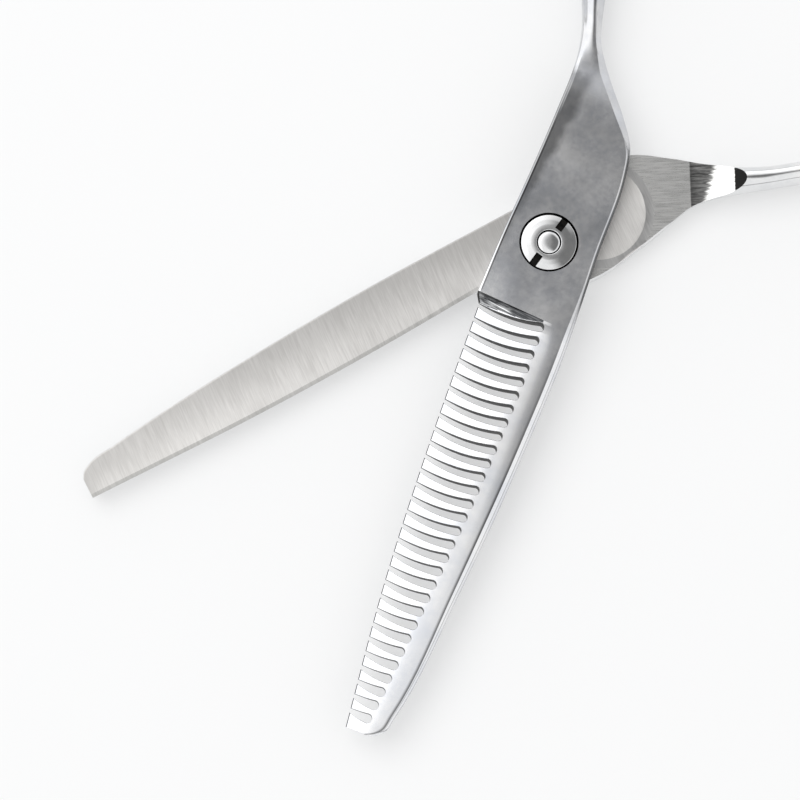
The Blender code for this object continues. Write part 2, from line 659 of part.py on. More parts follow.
def make_adjusting_nut(steel):
    """A shallow conical nut with a hub below and two spanner notches in its rim."""
    profile = [(NUT_BORE, COUNTERBORE_FLOOR + 0.35), (NUT_HUB_RADIUS, COUNTERBORE_FLOOR + 0.35)]
    profile += [(NUT_HUB_RADIUS, NUT_BOTTOM), (NUT_RADIUS - 0.15, NUT_BOTTOM)]
    profile += [(NUT_RADIUS, NUT_BOTTOM + 0.15), (NUT_RADIUS, NUT_TOP - 0.25)]
    profile += [(NUT_RADIUS - 0.7, NUT_TOP - 0.1), (NUT_BORE + 0.12, NUT_TOP), (NUT_BORE, NUT_TOP - 0.3)]
    obj = add_object("adjusting_nut", turned_mesh("adjusting_nut", profile, 40), PARTS)
    length = NUT_RADIUS + 1 - NOTCH_START
    for half_turn in (0.0, 180.0):
        turn = Matrix.Rotation(math.radians(NOTCH_ANGLE + half_turn), 4, "Z")
        cut(obj, box_mesh("notch", (length, NOTCH_WIDTH, 2.0),
                          (NOTCH_START + length / 2, 0, NOTCH_FLOOR + 1.0), turn))
    return finish(obj, steel)


def make_finger_rest(steel):
    """A curled tang with a collar and its own stud."""
    matrix = rest_matrix()
    points = smooth(REST_PATH, 4)
    sections = []
    for i, (along, out) in enumerate(points):
        before = points[max(i - 1, 0)]
        after = points[min(i + 1, len(points) - 1)]
        step = Vector((after[1] - before[1], 0, after[0] - before[0])).normalized()
        across = Vector((step.z, 0, -step.x))
        radius = REST_RADIUS * (1 - 0.22 * i / (len(points) - 1))
        centre = Vector((out, 0, along))
        section = []
        for k in range(12):
            turn = math.tau * k / 12
            offset = across * math.cos(turn) * radius + Vector((0, math.sin(turn) * radius, 0))
            section.append(matrix @ ((centre + offset) * MM))
        sections.append(section)
    obj = add_object("finger_rest", loft_mesh("finger_rest", sections), PARTS)
    bm = bmesh.new()
    bmesh.ops.create_uvsphere(bm, u_segments=12, v_segments=8, radius=1.55 * MM)
    ball = bpy.data.meshes.new("finger_rest_end")
    bm.to_mesh(ball)
    bm.free()
    ball.transform(matrix @ Matrix.Translation(Vector((REST_PATH[-1][1], 0, REST_PATH[-1][0])) * MM))
    join(obj, ball)
    mesh = turned_mesh("finger_rest_collar", REST_COLLAR, 24)
    mesh.transform(matrix)
    join(obj, mesh)
    return finish(obj, steel)


def make_finger_rest_washer(steel):
    mesh = washer_mesh("finger_rest_washer", 1.2, 2.2, 0.0, 0.45)
    mesh.transform(rest_matrix())
    return finish(add_object("finger_rest_washer", mesh, PARTS), steel)


def bumper_length():
    """From the finger ring's seat to just short of the thumb ring when the shears are shut."""
    gap = ring_side(FINGER_RING, FINGER_TILT, BUMPER_A) + ring_side(THUMB_RING, THUMB_TILT, BUMPER_A)
    return gap - FIT_GAP


def make_bumper(rubber):
    length = bumper_length()
    profile = [(1.1, 0.0), (BUMPER_RADIUS, 0.0), (BUMPER_RADIUS, length - 0.8)]
    profile += [(BUMPER_RADIUS - 0.3, length - 0.25), (BUMPER_RADIUS - 0.9, length), (0, length)]
    profile += [(0, length - 1.0), (1.1, length - 1.0)]
    mesh = turned_mesh("bumper", profile, 32)
    mesh.transform(bumper_matrix())
    return finish(add_object("bumper", mesh, PARTS), rubber)


def make_bumper_stud(steel):
    mesh = cylinder_mesh("bumper_stud", 0.8, -2.3, bumper_length() - 1.3, 16, bumper_matrix())
    return finish(add_object("bumper_stud", mesh, PARTS), steel)


def hang_on_pivot(pieces):
    """Open the plain half: its pieces turn with an empty on the pivot axis."""
    pivot = bpy.data.objects.new("thumb_half_pivot", None)
    PARTS.objects.link(pivot)
    for piece in pieces:
        piece.parent = pivot
    pivot.rotation_euler.z = math.radians(-OPEN_ANGLE)


def main():
    satin = material("satin_steel", (0.62, 0.63, 0.65), 0.3, 1.0)
    bright = material("bright_steel", (0.72, 0.73, 0.75), 0.15, 1.0)
    nylon = material("nylon", (0.85, 0.85, 0.82), 0.45, 0.0)
    rubber = material("black_rubber", (0.03, 0.03, 0.03), 0.7, 0.0)
    make_toothed_half(satin)
    plain_half = make_plain_half(satin)
    stud = make_pivot_stud(bright)
    bush = washer_mesh("pivot_bush", BUSH_INNER, BUSH_OUTER, TOOTHED_INNER + 0.05, COUNTERBORE_FLOOR)
    finish(add_object("pivot_bush", bush, PARTS), nylon)
    slip = washer_mesh("slip_washer", BUSH_OUTER + FIT_GAP, SLIP_OUTER, TOOTHED_INNER - 0.02,
                       TOOTHED_INNER - 0.02 + SLIP_THICKNESS)
    finish(add_object("slip_washer", slip, PARTS), nylon)
    thrust = washer_mesh("thrust_washer", WASHER_INNER, WASHER_OUTER, COUNTERBORE_FLOOR + 0.3,
                         COUNTERBORE_FLOOR + 0.6)
    finish(add_object("thrust_washer", thrust, PARTS), bright)
    make_wave_spring(bright)
    make_adjusting_nut(bright)
    make_finger_rest(bright)
    make_finger_rest_washer(bright)
    make_bumper(rubber)
    make_bumper_stud(bright)
    hang_on_pivot([plain_half, stud])


clear_scene()
PARTS = new_collection("thinning_shears")
CUTTERS = new_collection("cutters")
main()
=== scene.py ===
# %% [markdown]
# # Thinning shears: the finished look
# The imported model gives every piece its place. This script puts finely shaped steel over the coarse
# halves, finishes each piece as its maker would, and lays the shears on a pale table.
# It starts with the frame, because every later measure comes from it.

# %% Load the frame
import math

import bmesh
import bpy
import numpy as np
from mathutils import Matrix, Vector


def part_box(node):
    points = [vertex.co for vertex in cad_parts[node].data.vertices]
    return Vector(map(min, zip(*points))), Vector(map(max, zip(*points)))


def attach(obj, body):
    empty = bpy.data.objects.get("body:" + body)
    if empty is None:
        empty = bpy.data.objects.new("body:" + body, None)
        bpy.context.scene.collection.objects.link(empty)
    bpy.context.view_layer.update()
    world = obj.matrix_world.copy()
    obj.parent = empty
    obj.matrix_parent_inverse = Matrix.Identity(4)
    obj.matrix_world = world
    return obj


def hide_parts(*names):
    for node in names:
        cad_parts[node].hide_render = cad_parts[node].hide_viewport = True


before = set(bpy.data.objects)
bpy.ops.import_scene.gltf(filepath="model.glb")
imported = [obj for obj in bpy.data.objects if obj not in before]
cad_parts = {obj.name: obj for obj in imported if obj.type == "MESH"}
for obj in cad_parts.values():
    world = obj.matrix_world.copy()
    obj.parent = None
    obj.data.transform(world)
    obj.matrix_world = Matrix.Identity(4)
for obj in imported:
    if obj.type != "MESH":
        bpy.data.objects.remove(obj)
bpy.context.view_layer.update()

MM = 0.001

# %% [markdown]
# ## Measures of the two halves
# Shears are drawn shut, along a line from the pivot to the tip. A plan point is (a, b): a runs towards
# the tip and b towards the half's own cutting edge, in millimetres. The toothed half lies above with its
# edge at -X, and the plain half lies below with its edge at +X, turned open about the pivot.
# Drawing both halves shut keeps every number easy to read, and opening them is one turn at the end.

# %% Plan of the halves
TOOTHED, PLAIN = -1, 1
OPENING = math.radians(-41.3)

TOOTHED_BACK = [(67.0, -2.2), (66.7, -2.9), (65.8, -3.93), (63.7, -4.44), (46.0, -6.17), (25.1, -7.13),
                (12.2, -7.22), (-0.7, -6.44), (-12.0, -5.95), (-15.3, -5.2), (-18.8, -2.96), (-22.6, 0.17),
                (-24.8, 1.85), (-27.1, 3.3), (-29.6, 4.15), (-32.9, 5.0), (-41.0, 7.5), (-49.5, 9.9)]
TOOTHED_FRONT = [(-49.5, 13.5), (-41.0, 10.9), (-31.7, 7.77), (-28.6, 6.49), (-25.1, 5.68), (-22.0, 5.42),
                 (-17.6, 5.4), (-6.5, 5.65), (0.5, 5.95), (9.19, 6.08)]
TOOTH_LINE = [(10.3, 5.38), (29.1, 4.6), (48.9, 3.16), (67.0, 0.92)]
PLAIN_BACK = [(66.6, 0.2), (66.2, -0.5), (65.0, -1.25), (61.1, -1.93), (50.8, -3.31), (40.8, -4.29),
              (25.3, -5.45), (2.0, -6.31), (-9.0, -6.7), (-15.2, -5.86), (-19.5, -3.2), (-23.7, -0.12),
              (-26.4, 1.6), (-30.5, 3.5), (-34.3, 4.75), (-41.5, 7.6)]
PLAIN_FRONT = [(-41.5, 10.9), (-32.9, 7.36), (-29.1, 6.21), (-24.8, 4.84), (-21.7, 3.95), (-19.4, 3.7),
               (-16.3, 4.24), (-13.1, 4.95), (-3.4, 6.4), (4.0, 4.9), (10.2, 1.1)]
CUTTING_EDGE = [(10.2, 1.1), (25.3, 2.1), (40.8, 2.75), (66.6, 2.93)]
print("opening:", round(-math.degrees(OPENING), 1), "degrees")

# %% [markdown]
# ## Curves through the plan points
# Few points and a smooth curve through them give the sweep of a forging. A Bezier curve object would do
# it too, but a function of a can be asked for the width, or for a height, at any station.

# %% Smooth lines
def drawn(points, steps=8):
    """A smooth curve through the points, with tangents weighted by the length of each chord."""
    given = np.array(points, float)
    chord = np.linalg.norm(np.diff(given, axis=0), axis=1)
    tangent = np.gradient(given, np.concatenate(([0.0], np.cumsum(chord))), axis=0)
    fine = []
    for i, length in enumerate(chord):
        for t in np.linspace(0.0, 1.0, steps, endpoint=False):
            start = (1 + 2 * t) * (1 - t) ** 2 * given[i] + t * (1 - t) ** 2 * length * tangent[i]
            end = t * t * (3 - 2 * t) * given[i + 1] - t * t * (1 - t) * length * tangent[i + 1]
            fine.append(start + end)
    return np.array(fine + [given[-1]])


def reader(*runs):
    """A function that gives b, or a height, at any a along the runs."""
    fine = np.concatenate([drawn(run) for run in runs])
    fine = fine[np.argsort(fine[:, 0])]
    return lambda a: float(np.interp(a, fine[:, 0], fine[:, 1]))


toothed_back = reader(TOOTHED_BACK)
toothed_front = reader(TOOTHED_FRONT, TOOTH_LINE)
plain_back = reader(PLAIN_BACK)
plain_front = reader(PLAIN_FRONT, CUTTING_EDGE)
tooth_line = reader(TOOTH_LINE)
print(f"width at the pivot: toothed {toothed_front(0) - toothed_back(0):.1f} mm,",
      f"plain {plain_front(0) - plain_back(0):.1f} mm")


def ease(x, low=0.0, high=1.0):
    """Rises smoothly from 0 at low to 1 at high."""
    t = min(max((x - low) / (high - low), 0.0), 1.0)
    return t * t * (3 - 2 * t)


print("half way up an ease:", ease(0.5))

# %% [markdown]
# ## From a grid to a forging
# A blade, its shank and its neck are one length of steel whose section changes all the way. A flat grid
# is rolled round into a tube, station by station, so that a line of the mesh follows every edge of the
# blade. A Boolean of blocks would give the outline too, but its shading breaks where the section changes.

# %% Roll a grid into a tube
MERGE = 1e-5


def rolled(stations, around, point, ends=(True, True)):
    """A tube made from a flat grid: point(i, j) places line j of station i."""
    bm = bmesh.new()
    bmesh.ops.create_grid(bm, x_segments=stations - 1, y_segments=around, size=0.5)
    closing = ([], [])
    for v in bm.verts:
        i = round((v.co.x + 0.5) * (stations - 1))
        j = round((v.co.y + 0.5) * around) % around
        v.co = point(i, j)
        if i == 0 or i == stations - 1:
            closing[i > 0].append(v)
    bmesh.ops.remove_doubles(bm, verts=bm.verts, dist=MERGE)
    for wanted, rim in zip(ends, closing):
        alive = {v for v in rim if v.is_valid}
        edges = [e for e in bm.edges if wanted and e.verts[0] in alive and e.verts[1] in alive]
        bmesh.ops.holes_fill(bm, edges=edges, sides=0)
    bmesh.ops.recalc_face_normals(bm, faces=bm.faces)
    return bm


print("points closer than", MERGE, "mm become one")

# %% [markdown]
# ## Turned pieces
# Nuts, studs and bores come off a lathe, so their profile is drawn once and spun about the axis. Even a
# sharp turned corner is broken a little on real steel, so profiles are rounded before they are spun.

# %% Spin a profile
def turned(profile, steps=96):
    """A closed solid turned about Z from (radius, height) points that start and end on the axis or meet."""
    bm = bmesh.new()
    verts = [bm.verts.new((r, 0.0, z)) for r, z in profile]
    pairs = zip(verts, verts[1:] + verts[:1]) if profile[0][0] > 0 else zip(verts, verts[1:])
    edges = [bm.edges.new(pair) for pair in pairs]
    bmesh.ops.spin(bm, geom=verts + edges, cent=(0, 0, 0), axis=(0, 0, 1), angle=math.tau, steps=steps,
                   use_merge=True)
    bmesh.ops.remove_doubles(bm, verts=bm.verts, dist=MERGE)
    bmesh.ops.recalc_face_normals(bm, faces=bm.faces)
    return bm


def rounded(points, radius, steps=4):
    """The profile with each inner corner rounded."""
    out = [points[0]]
    for before, corner, after in zip(points, points[1:], points[2:]):
        p, c, q = (Vector((*x, 0)) for x in (before, corner, after))
        reach = min(radius, (p - c).length * 0.45, (q - c).length * 0.45)
        start, end = c + (p - c).normalized() * reach, c + (q - c).normalized() * reach
        for k in range(steps + 1):
            t = k / steps
            at = start * (1 - t) ** 2 + c * 2 * t * (1 - t) + end * t * t
            out.append((at.x, at.y))
    return out + [points[-1]]


print("points of a rounded right angle:", len(rounded([(0, 0), (1, 0), (1, 1)], 0.1)))

# %% [markdown]
# ## Cutting tools
# Slots, bores and seats are cut after forging, and a Boolean does just that. Every mesh starts with the
# same numbered blank finishes, so that a cut wall keeps the number its cutter gave it. The real
# finishes take their places at the end.

# %% Cut one mesh with others
FINISH_COUNT = 6
SLIVER, THIN_FACE = 2e-4, 1e-4
blank_finishes = [bpy.data.materials.new("unfinished") for _ in range(FINISH_COUNT)]


def to_mesh(bm, name):
    """A mesh with the blank finishes, from a bmesh that is used up."""
    mesh = bpy.data.meshes.new(name)
    for made in blank_finishes:
        mesh.materials.append(made)
    bm.to_mesh(mesh)
    bm.free()
    return mesh


def worked(mesh, tools, operation="DIFFERENCE"):
    """The mesh after exact Booleans with each tool mesh, one after the other."""
    stock = bpy.data.objects.new("stock", mesh)
    bpy.context.scene.collection.objects.link(stock)
    used = []
    for tool in tools:
        cutter = bpy.data.objects.new("cutter", tool)
        bpy.context.scene.collection.objects.link(cutter)
        step = stock.modifiers.new("cut", "BOOLEAN")
        step.operation, step.solver, step.object = operation, "EXACT", cutter
        step.material_mode = "INDEX"
        used.append(cutter)
    done = bpy.data.meshes.new_from_object(stock.evaluated_get(bpy.context.evaluated_depsgraph_get()))
    for obj in [stock, *used]:
        bpy.data.objects.remove(obj)
    bm = bmesh.new()
    bm.from_mesh(done)
    bm.normal_update()
    bmesh.ops.remove_doubles(bm, verts=bm.verts, dist=SLIVER)
    bmesh.ops.dissolve_degenerate(bm, edges=bm.edges, dist=THIN_FACE)
    bm.to_mesh(done)
    bm.free()
    return done


print("blank finishes:", len(blank_finishes))

# %% [markdown]
# ## The section of a half
# Near the tip the section is a thin slab with a bevelled back; behind the pivot it grows into the oval of
# the neck. Both have forty points here, eighteen on each face and two on each side, so the slab
# can flow into the oval point by point, as hot steel does under the hammer.

# %% Slab and oval sections
FACE_POINTS = 18
AROUND = 2 * FACE_POINTS + 4
OVAL_FACE, OVAL_SIDE = 136.0, 7.0
OVAL_STEP = OVAL_FACE / (FACE_POINTS - 1)
OVAL_TURNS = [90 + OVAL_FACE / 2 - OVAL_STEP * j for j in range(FACE_POINTS)] + [OVAL_SIDE, -OVAL_SIDE]
OVAL_TURNS += [turn - 180 for turn in OVAL_TURNS]
RIDGE_SHARE, FACE_HOLD, BEVEL_DROP = 0.3, 0.1, 0.8


def face_points(back, front, height, bevel, lip, ridge=None):
    """Eighteen (b, z) points over a face: the bevelled back, the face itself, the rounded front."""
    inner, outer = back + bevel[0], front - lip[0]
    ridge = inner + (outer - inner) * RIDGE_SHARE if ridge is None else ridge
    spread = [inner, inner + FACE_HOLD, *np.linspace(inner + FACE_HOLD, ridge, 4)[1:]]
    spread += [*np.linspace(ridge, outer - FACE_HOLD, 9)[1:], outer]
    points = [(back, height(back + 1e-3) - bevel[1])]
    points += [(back + bevel[0] * 0.5, height(inner) - bevel[1] * 0.42)]
    points += [(b, height(b)) for b in spread]
    points += [(front - lip[0] * 0.3, height(front) - lip[1] * 0.3), (front, height(front) - lip[1])]
    return points


def slab(top, low):
    """The closed section through both faces, with the walls between them."""
    (front_b, front_top), front_low = top[-1], low[-1][1]
    (back_b, back_top), back_low = top[0], low[0][1]
    front_wall = [(front_b, front_top + (front_low - front_top) * t) for t in (0.33, 0.67)]
    back_wall = [(back_b, back_low + (back_top - back_low) * t) for t in (0.33, 0.67)]
    return top + front_wall + low[::-1] + back_wall


def flowing(section, oval, share):
    """The slab section blended towards an oval of (middle b, half width, low z, high z)."""
    middle, half, low, high = oval
    centre, rise = (low + high) / 2, (high - low) / 2
    out = []
    for (b, z), turn in zip(section, OVAL_TURNS):
        across, up = math.cos(math.radians(turn)), math.sin(math.radians(turn))
        out.append((b + (middle + half * across - b) * share, z + (centre + rise * up - z) * share))
    return out


print("points round a section:", AROUND)

# %% [markdown]
# ## Finger rings
# A ring starts as a wire circle swept round, and is then stretched along the handle. Forging leaves no
# seam where the neck meets it, so a patch of the ring is taken out, the open end of the neck is
# bridged to the hole, and the corners of the join are relaxed into a fillet.

# %% Ring and fillet
RING_RADIUS, RING_LENGTH, RING_BAND, RING_RISE = 12.5, 14.7, 2.0, 3.4
MIDDLE_HEIGHT = 3.4
FILLET_REACH, FILLET_PASSES = 5.5, 14
RING_STEPS, BAND_STEPS = 120, 20
PATCH_LONG, PATCH_TALL = 12, 8
FINGER_RING, FINGER_TILT = (-69.0, 16.2), 14.0
THUMB_RING, THUMB_TILT = (-60.0, 16.2), 16.0


def plan_point(side, a, b, z):
    return Vector((side * b, -a, z))


def add_ring(bm, side, centre, tilt, neck_rim):
    """Sweep a ring beside the neck, bridge the neck's open rim to it and smooth the join."""
    circle = bmesh.ops.create_circle(bm, segments=BAND_STEPS, radius=RING_BAND / RING_RADIUS)["verts"]
    bmesh.ops.transform(bm, matrix=Matrix.Translation((0, -1, 0)) @ Matrix.Rotation(math.pi / 2, 4, "Y"),
                        verts=circle)
    loop = list({e for v in circle for e in v.link_edges})
    before = set(bm.verts) - set(circle)
    bmesh.ops.spin(bm, geom=circle + loop, cent=(0, 0, 0), axis=(0, 0, 1), angle=math.tau,
                   steps=RING_STEPS, use_merge=True)
    swept = [v for v in bm.verts if v not in before]
    faces = {f for v in swept for f in v.link_faces}
    long_half = math.pi * PATCH_LONG / RING_STEPS
    tall_half = math.pi * PATCH_TALL / BAND_STEPS
    patch = []
    for f in faces:
        c = f.calc_center_median()
        along = math.atan2(c.x, -c.y)
        round_band = math.atan2(c.z, math.hypot(c.x, c.y) - 1)
        if abs(along) < long_half and abs(round_band) < tall_half:
            patch.append(f)
    bmesh.ops.delete(bm, geom=patch, context="FACES")
    swept = [v for v in swept if v.is_valid]
    place = (Matrix.Translation(plan_point(side, *centre, MIDDLE_HEIGHT))
             @ Matrix.Rotation(math.radians(-side * tilt), 4, "Z")
             @ Matrix.Diagonal((RING_RADIUS, RING_LENGTH, RING_RISE / RING_BAND * RING_RADIUS, 1.0)))
    bmesh.ops.transform(bm, matrix=place, verts=swept)
    hole = list({e for v in swept for e in v.link_edges if e.is_boundary})
    bridge = bmesh.ops.bridge_loops(bm, edges=hole + neck_rim)
    rungs = [e for e in bridge["edges"] if not e.is_boundary]
    bmesh.ops.subdivide_edges(bm, edges=rungs, cuts=3, use_grid_fill=True)
    middle = sum((e.verts[0].co for e in hole if e.is_valid), Vector()) / len(hole)
    near = [v for v in bm.verts if (v.co - middle).length < FILLET_REACH]
    for _ in range(FILLET_PASSES):
        bmesh.ops.smooth_vert(bm, verts=near, factor=0.5, use_axis_x=True, use_axis_y=True, use_axis_z=True)
    bmesh.ops.recalc_face_normals(bm, faces=bm.faces)
    return len(patch), len(hole)


print("middle line of a ring:", 2 * RING_RADIUS, "by", 2 * RING_LENGTH, "mm")

# %% [markdown]
# ## The toothed half
# Above the teeth the steel is ground hollow, from a soft ridge at the roots of the slots down to thin
# tooth ends, and the grinding stops in a steep curved step, the ricasso. The back keeps a flat strip
# with a polished bevel. All of that is one height for each plan point, so it is one function.

# %% Heights of the toothed half
ON_BLADE, TOOTHED_TIP = 8.0, 66.0
TOOTHED_INNER, TOOTHED_OUTER = 3.55, 7.2
SPINE_AT_TIP, TOOTH_END = 5.25, 4.25
RICASSO_A = 9.19
RICASSO_LEAN, RIDGE_BACK = 0.65, 0.9
HOLLOW_REACH, BLEND_REACH, GRIND_POWER, STRIP_WIDE = 1.05, 5.0, 2.3, 0.6
SLOT_ROOTS = [(9.0, -3.5), (19.7, -3.84), (29.1, -3.77), (48.2, -2.95), (65.5, -1.75), (67.0, -1.6)]
slot_root = reader(SLOT_ROOTS)
toothed_top_line = reader([(-49.5, 6.05), (-41.0, 5.9), (-32.0, 5.8), (-27.0, 5.95), (-24.0, 6.15),
                           (-19.0, 6.9), (-14.0, 7.18), (-11.0, TOOTHED_OUTER), (-8.0, TOOTHED_OUTER),
                           (-3.0, TOOTHED_OUTER), (8.0, 7.14), (20.0, 6.97), (40.0, 6.43), (55.0, 5.84),
                           (67.0, SPINE_AT_TIP)])
toothed_low_line = reader([(-49.5, 0.75), (-41.0, 0.9), (-32.0, 1.0), (-27.5, 1.35), (-25.6, 2.1),
                           (-23.4, 3.5), (-20.0, 3.8), (-16.5, 3.9), (-12.0, 3.9), (-10.0, 3.8),
                           (-8.0, TOOTHED_INNER), (-7.8, TOOTHED_INNER), (-7.0, TOOTHED_INNER),
                           (67.0, TOOTHED_INNER)])


def ridge_at(a):
    """Where the hollow above the teeth begins."""
    return slot_root(max(a, SLOT_ROOTS[0][0])) - RIDGE_BACK


def toothed_top(a, station, b):
    """Height of the toothed half's outer face."""
    face = toothed_top_line(a)
    if station <= RICASSO_A:
        return face
    back, front = toothed_back(min(a, TOOTHED_TIP)) + STRIP_WIDE, tooth_line(max(a, TOOTH_LINE[0][0]))
    share = min(max((b - back) / (front - back), 0.0), 1.05)
    reach = HOLLOW_REACH + BLEND_REACH * (1 - ease(share, 0.16, 0.42))
    t = min((station - RICASSO_A) / reach, 1.0)
    onset = math.sqrt(max(1 - (1 - t) ** 2, 0.0))
    onset += (t * t * (3 - 2 * t) - onset) * (1 - ease(share, 0.28, 0.44))
    return face - (face - TOOTH_END) * share ** GRIND_POWER * onset


def toothed_bevel(a):
    """Width of the polished bevel along the back."""
    blade = (0.46 + 0.44 * ease(a, 2.0, 12.0)) * (1 - 0.5 * ease(a, 36.0, 67.0))
    return blade + ease(-a, 13.0, 20.0)


print("outer face, pivot to tip:", [round(toothed_top_line(a), 2) for a in (0, 30, 67)], "mm")

# %% [markdown]
# ## Sections of the toothed half
# Each station is a slab cut a little askew, because the ricasso leans across the blade. Towards the
# ring the slab becomes the oval of the neck. The stations stand close together where the shape turns
# fast, at the ricasso and at the tip, and far apart on the plain lengths between.

# %% Roll the toothed half
LINE_BREAK = 0.08


def ridge_line(a):
    """The soft ridge of the face, which bends back to its usual place behind the ricasso."""
    def usual(at):
        return toothed_back(at) + RIDGE_SHARE * (toothed_front(at) - toothed_back(at))

    if a > ON_BLADE:
        return ridge_at(a)
    return usual(a) + (ridge_at(ON_BLADE) - usual(ON_BLADE)) * ease(a, 0.0, ON_BLADE)


def toothed_section(station):
    """The points of one section, from the back over the outer face and round below."""
    back, front = toothed_back(station), toothed_front(station)
    lean = RICASSO_LEAN * ease(station, 2.0, 8.6) * (1 - ease(station, 11.0, 20.0))
    bevel_wide = toothed_bevel(station)
    rounding = 0.1 if station > RICASSO_A else 0.22 + 0.3 * ease(-station, 8.0, 20.0)
    lip = (rounding, rounding)

    def a_of(b):
        return station + lean * (front - b) / (front - back)

    def height(b):
        return toothed_top(a_of(b), station, b)

    top = face_points(back, front, height, (bevel_wide, bevel_wide * BEVEL_DROP), lip, ridge_line(station))
    under = toothed_low_line(station)
    broken = (LINE_BREAK, LINE_BREAK)
    low = [(b, -z) for b, z in face_points(back, front, lambda b: -under, broken, broken)]
    share = ease(-station, 22.0, 36.0)
    oval = ((back + front) / 2, (front - back) / 2, under, toothed_top_line(station))
    shape = flowing(slab(top, low), oval, share)
    return [plan_point(TOOTHED, a_of(b) if share < 1 else station, b, z) for b, z in shape]


def spaced(first, *runs):
    """Stations from the first one through runs of (last, step)."""
    out = []
    for last, step in runs:
        out += list(np.linspace(first, last, max(round(abs(last - first) / step), 1), endpoint=False))
        first = last
    return out + [first]


toothed_stations = spaced(67.0, (66.0, 0.12), (62.0, 0.25), (11.0, 0.35), (10.3, 0.1), (9.5, 0.08),
                          (9.2, 0.03), (9.18, 0.005), (8.4, 0.15), (-11.0, 0.7), (-34.0, 0.4), (-48.3, 0.8))
toothed_sections = [toothed_section(s) for s in toothed_stations]
toothed_bm = rolled(len(toothed_stations), AROUND, lambda i, j: toothed_sections[i][j], ends=(True, False))
neck_rim = [e for e in toothed_bm.edges if e.is_boundary]
patched = add_ring(toothed_bm, TOOTHED, FINGER_RING, FINGER_TILT, neck_rim)
print("toothed blank:", len(toothed_bm.faces), "faces; ring patch and rim:", patched)

# %% [markdown]
# ## Which finish goes where
# A piece may carry several finishes, and each face keeps the number of its own. The ends of the teeth
# are left as the wheel cut them and share the slot walls' near-black finish, which is painted shade, and the
# step of the ricasso has a finish to itself.

# %% Number the faces of the toothed half
FIRST_SLOT = 10.51
TOOTH_END_BAND, TOOTH_END_NORMAL = 0.12, 0.85
STEP_START, STEP_END, STEP_BACK, STEP_NORMAL = RICASSO_A - 0.02, FIRST_SLOT - 0.1, -3.6, 0.99
numbered = [0, 0, 0]
for face in toothed_bm.faces:
    middle = face.calc_center_median()
    a, b = -middle.y, TOOTHED * middle.x
    at_end = a > RICASSO_A and b > tooth_line(max(a, TOOTH_LINE[0][0])) - TOOTH_END_BAND
    at_step = STEP_START < a < STEP_END and b > STEP_BACK
    if at_end and face.normal.z < TOOTH_END_NORMAL:
        face.material_index = 1
    elif at_step and 0.0 < face.normal.z < STEP_NORMAL:
        face.material_index = 2
    numbered[face.material_index] += 1
print("faces of each finish:", numbered)

# %% [markdown]
# ## Thirty slots
# Thinning slots are ground with a shaped wheel: each one bows towards the tip and widens from its mouth
# to a round root, and a light polish breaks its upper edge. Each cutter here follows the same bow, and
# flares just above the tooth surface, so one Boolean leaves the slot and its broken edge together.

# %% Slot cutters
SLOT_COUNT, SLOT_PITCH = 30, 1.873
SLOT_MOUTH, SLOT_ROOT_WIDE = 0.52, 1.22
SLOT_OVERRUN, SLOT_LOW, SLOT_HIGH = 1.5, 2.5, 8.4
EDGE_BREAK, UPRIGHT = 0.045, 0.3


def slot_outline(mouth_a, grow=0.0):
    """A slot's outline, widened all round by grow."""
    mouth_b, root_b = tooth_line(mouth_a), slot_root(mouth_a)
    length = mouth_b - root_b - SLOT_ROOT_WIDE / 2
    bow_middle, bow_radius = 1.08 + 0.39 * length, 7.9 + 1.06 * length

    def centre(depth):
        return mouth_a + depth * (2 * bow_middle - depth) / (2 * bow_radius)

    def half(depth):
        return (SLOT_MOUTH + (SLOT_ROOT_WIDE - SLOT_MOUTH) * (max(depth, 0) / length) ** 0.7) / 2 + grow

    depths = [-SLOT_OVERRUN] + [length * k / 16 for k in range(17)]
    radius, middle = SLOT_ROOT_WIDE / 2 + grow, centre(length)
    root = [(middle - radius * math.cos(t), mouth_b - length - radius * math.sin(t))
            for t in np.linspace(0, math.pi, 14)[1:-1]]
    near = [(centre(d) - half(d), mouth_b - d) for d in depths]
    far = [(centre(d) + half(d), mouth_b - d) for d in reversed(depths)]
    return near + root + far


def slot_cutter(bm, mouth_a):
    """Add one slot's cutter, which flares where it meets the tooth surface."""
    inner, outer = slot_outline(mouth_a), slot_outline(mouth_a, 2 * EDGE_BREAK)

    def point(i, j):
        a, b = (inner if i < 2 else outer)[j]
        surface = toothed_top(a, a, min(b, tooth_line(a)))
        z = (SLOT_LOW, surface - EDGE_BREAK, surface + EDGE_BREAK, SLOT_HIGH)[i]
        return plan_point(TOOTHED, a, b, z)

    part = rolled(4, len(inner), point)
    mesh = to_mesh(part, "slot")
    bm.from_mesh(mesh)
    bpy.data.meshes.remove(mesh)


slots = bmesh.new()
for k in range(SLOT_COUNT):
    slot_cutter(slots, FIRST_SLOT + k * SLOT_PITCH)
slots.normal_update()
# Upright faces become the slot walls, which take the near-black finish: painted shade in the slots.
for face in slots.faces:
    face.material_index = 1 if abs(face.normal.z) < UPRIGHT else 0
slots = to_mesh(slots, "slots")
print("slots:", SLOT_COUNT, "cutter faces:", len(slots.polygons))

# %% [markdown]
# ## Bores of the toothed half
# The nut sits in a counterbore with a hair of clearance that shows as a black ring, made darker by painted
# shade:
# the counterbore's wall is near black. Below it are the bush's bore and the slip washer's recess. The stud of
# the finger rest and that of the bumper go into flats milled on the ring. They are turned cutters, so their
# walls stay truly round.

# %% Bore and seat cutters
COUNTERBORE, COUNTERBORE_FLOOR = 3.81, 5.05
BUSH_BORE, SLIP_RECESS, SLIP_TOP = 3.0, 4.6, 4.35


def cylinder(radius, low, high, matrix=None, steps=96, material=0):
    """A turned cutter from low to high, in place by its matrix."""
    bm = turned([(0, low), (radius, low), (radius, high), (0, high)], steps)
    if matrix is not None:
        bmesh.ops.transform(bm, matrix=matrix, verts=bm.verts)
    for face in bm.faces:
        face.material_index = material
    return to_mesh(bm, "cylinder")


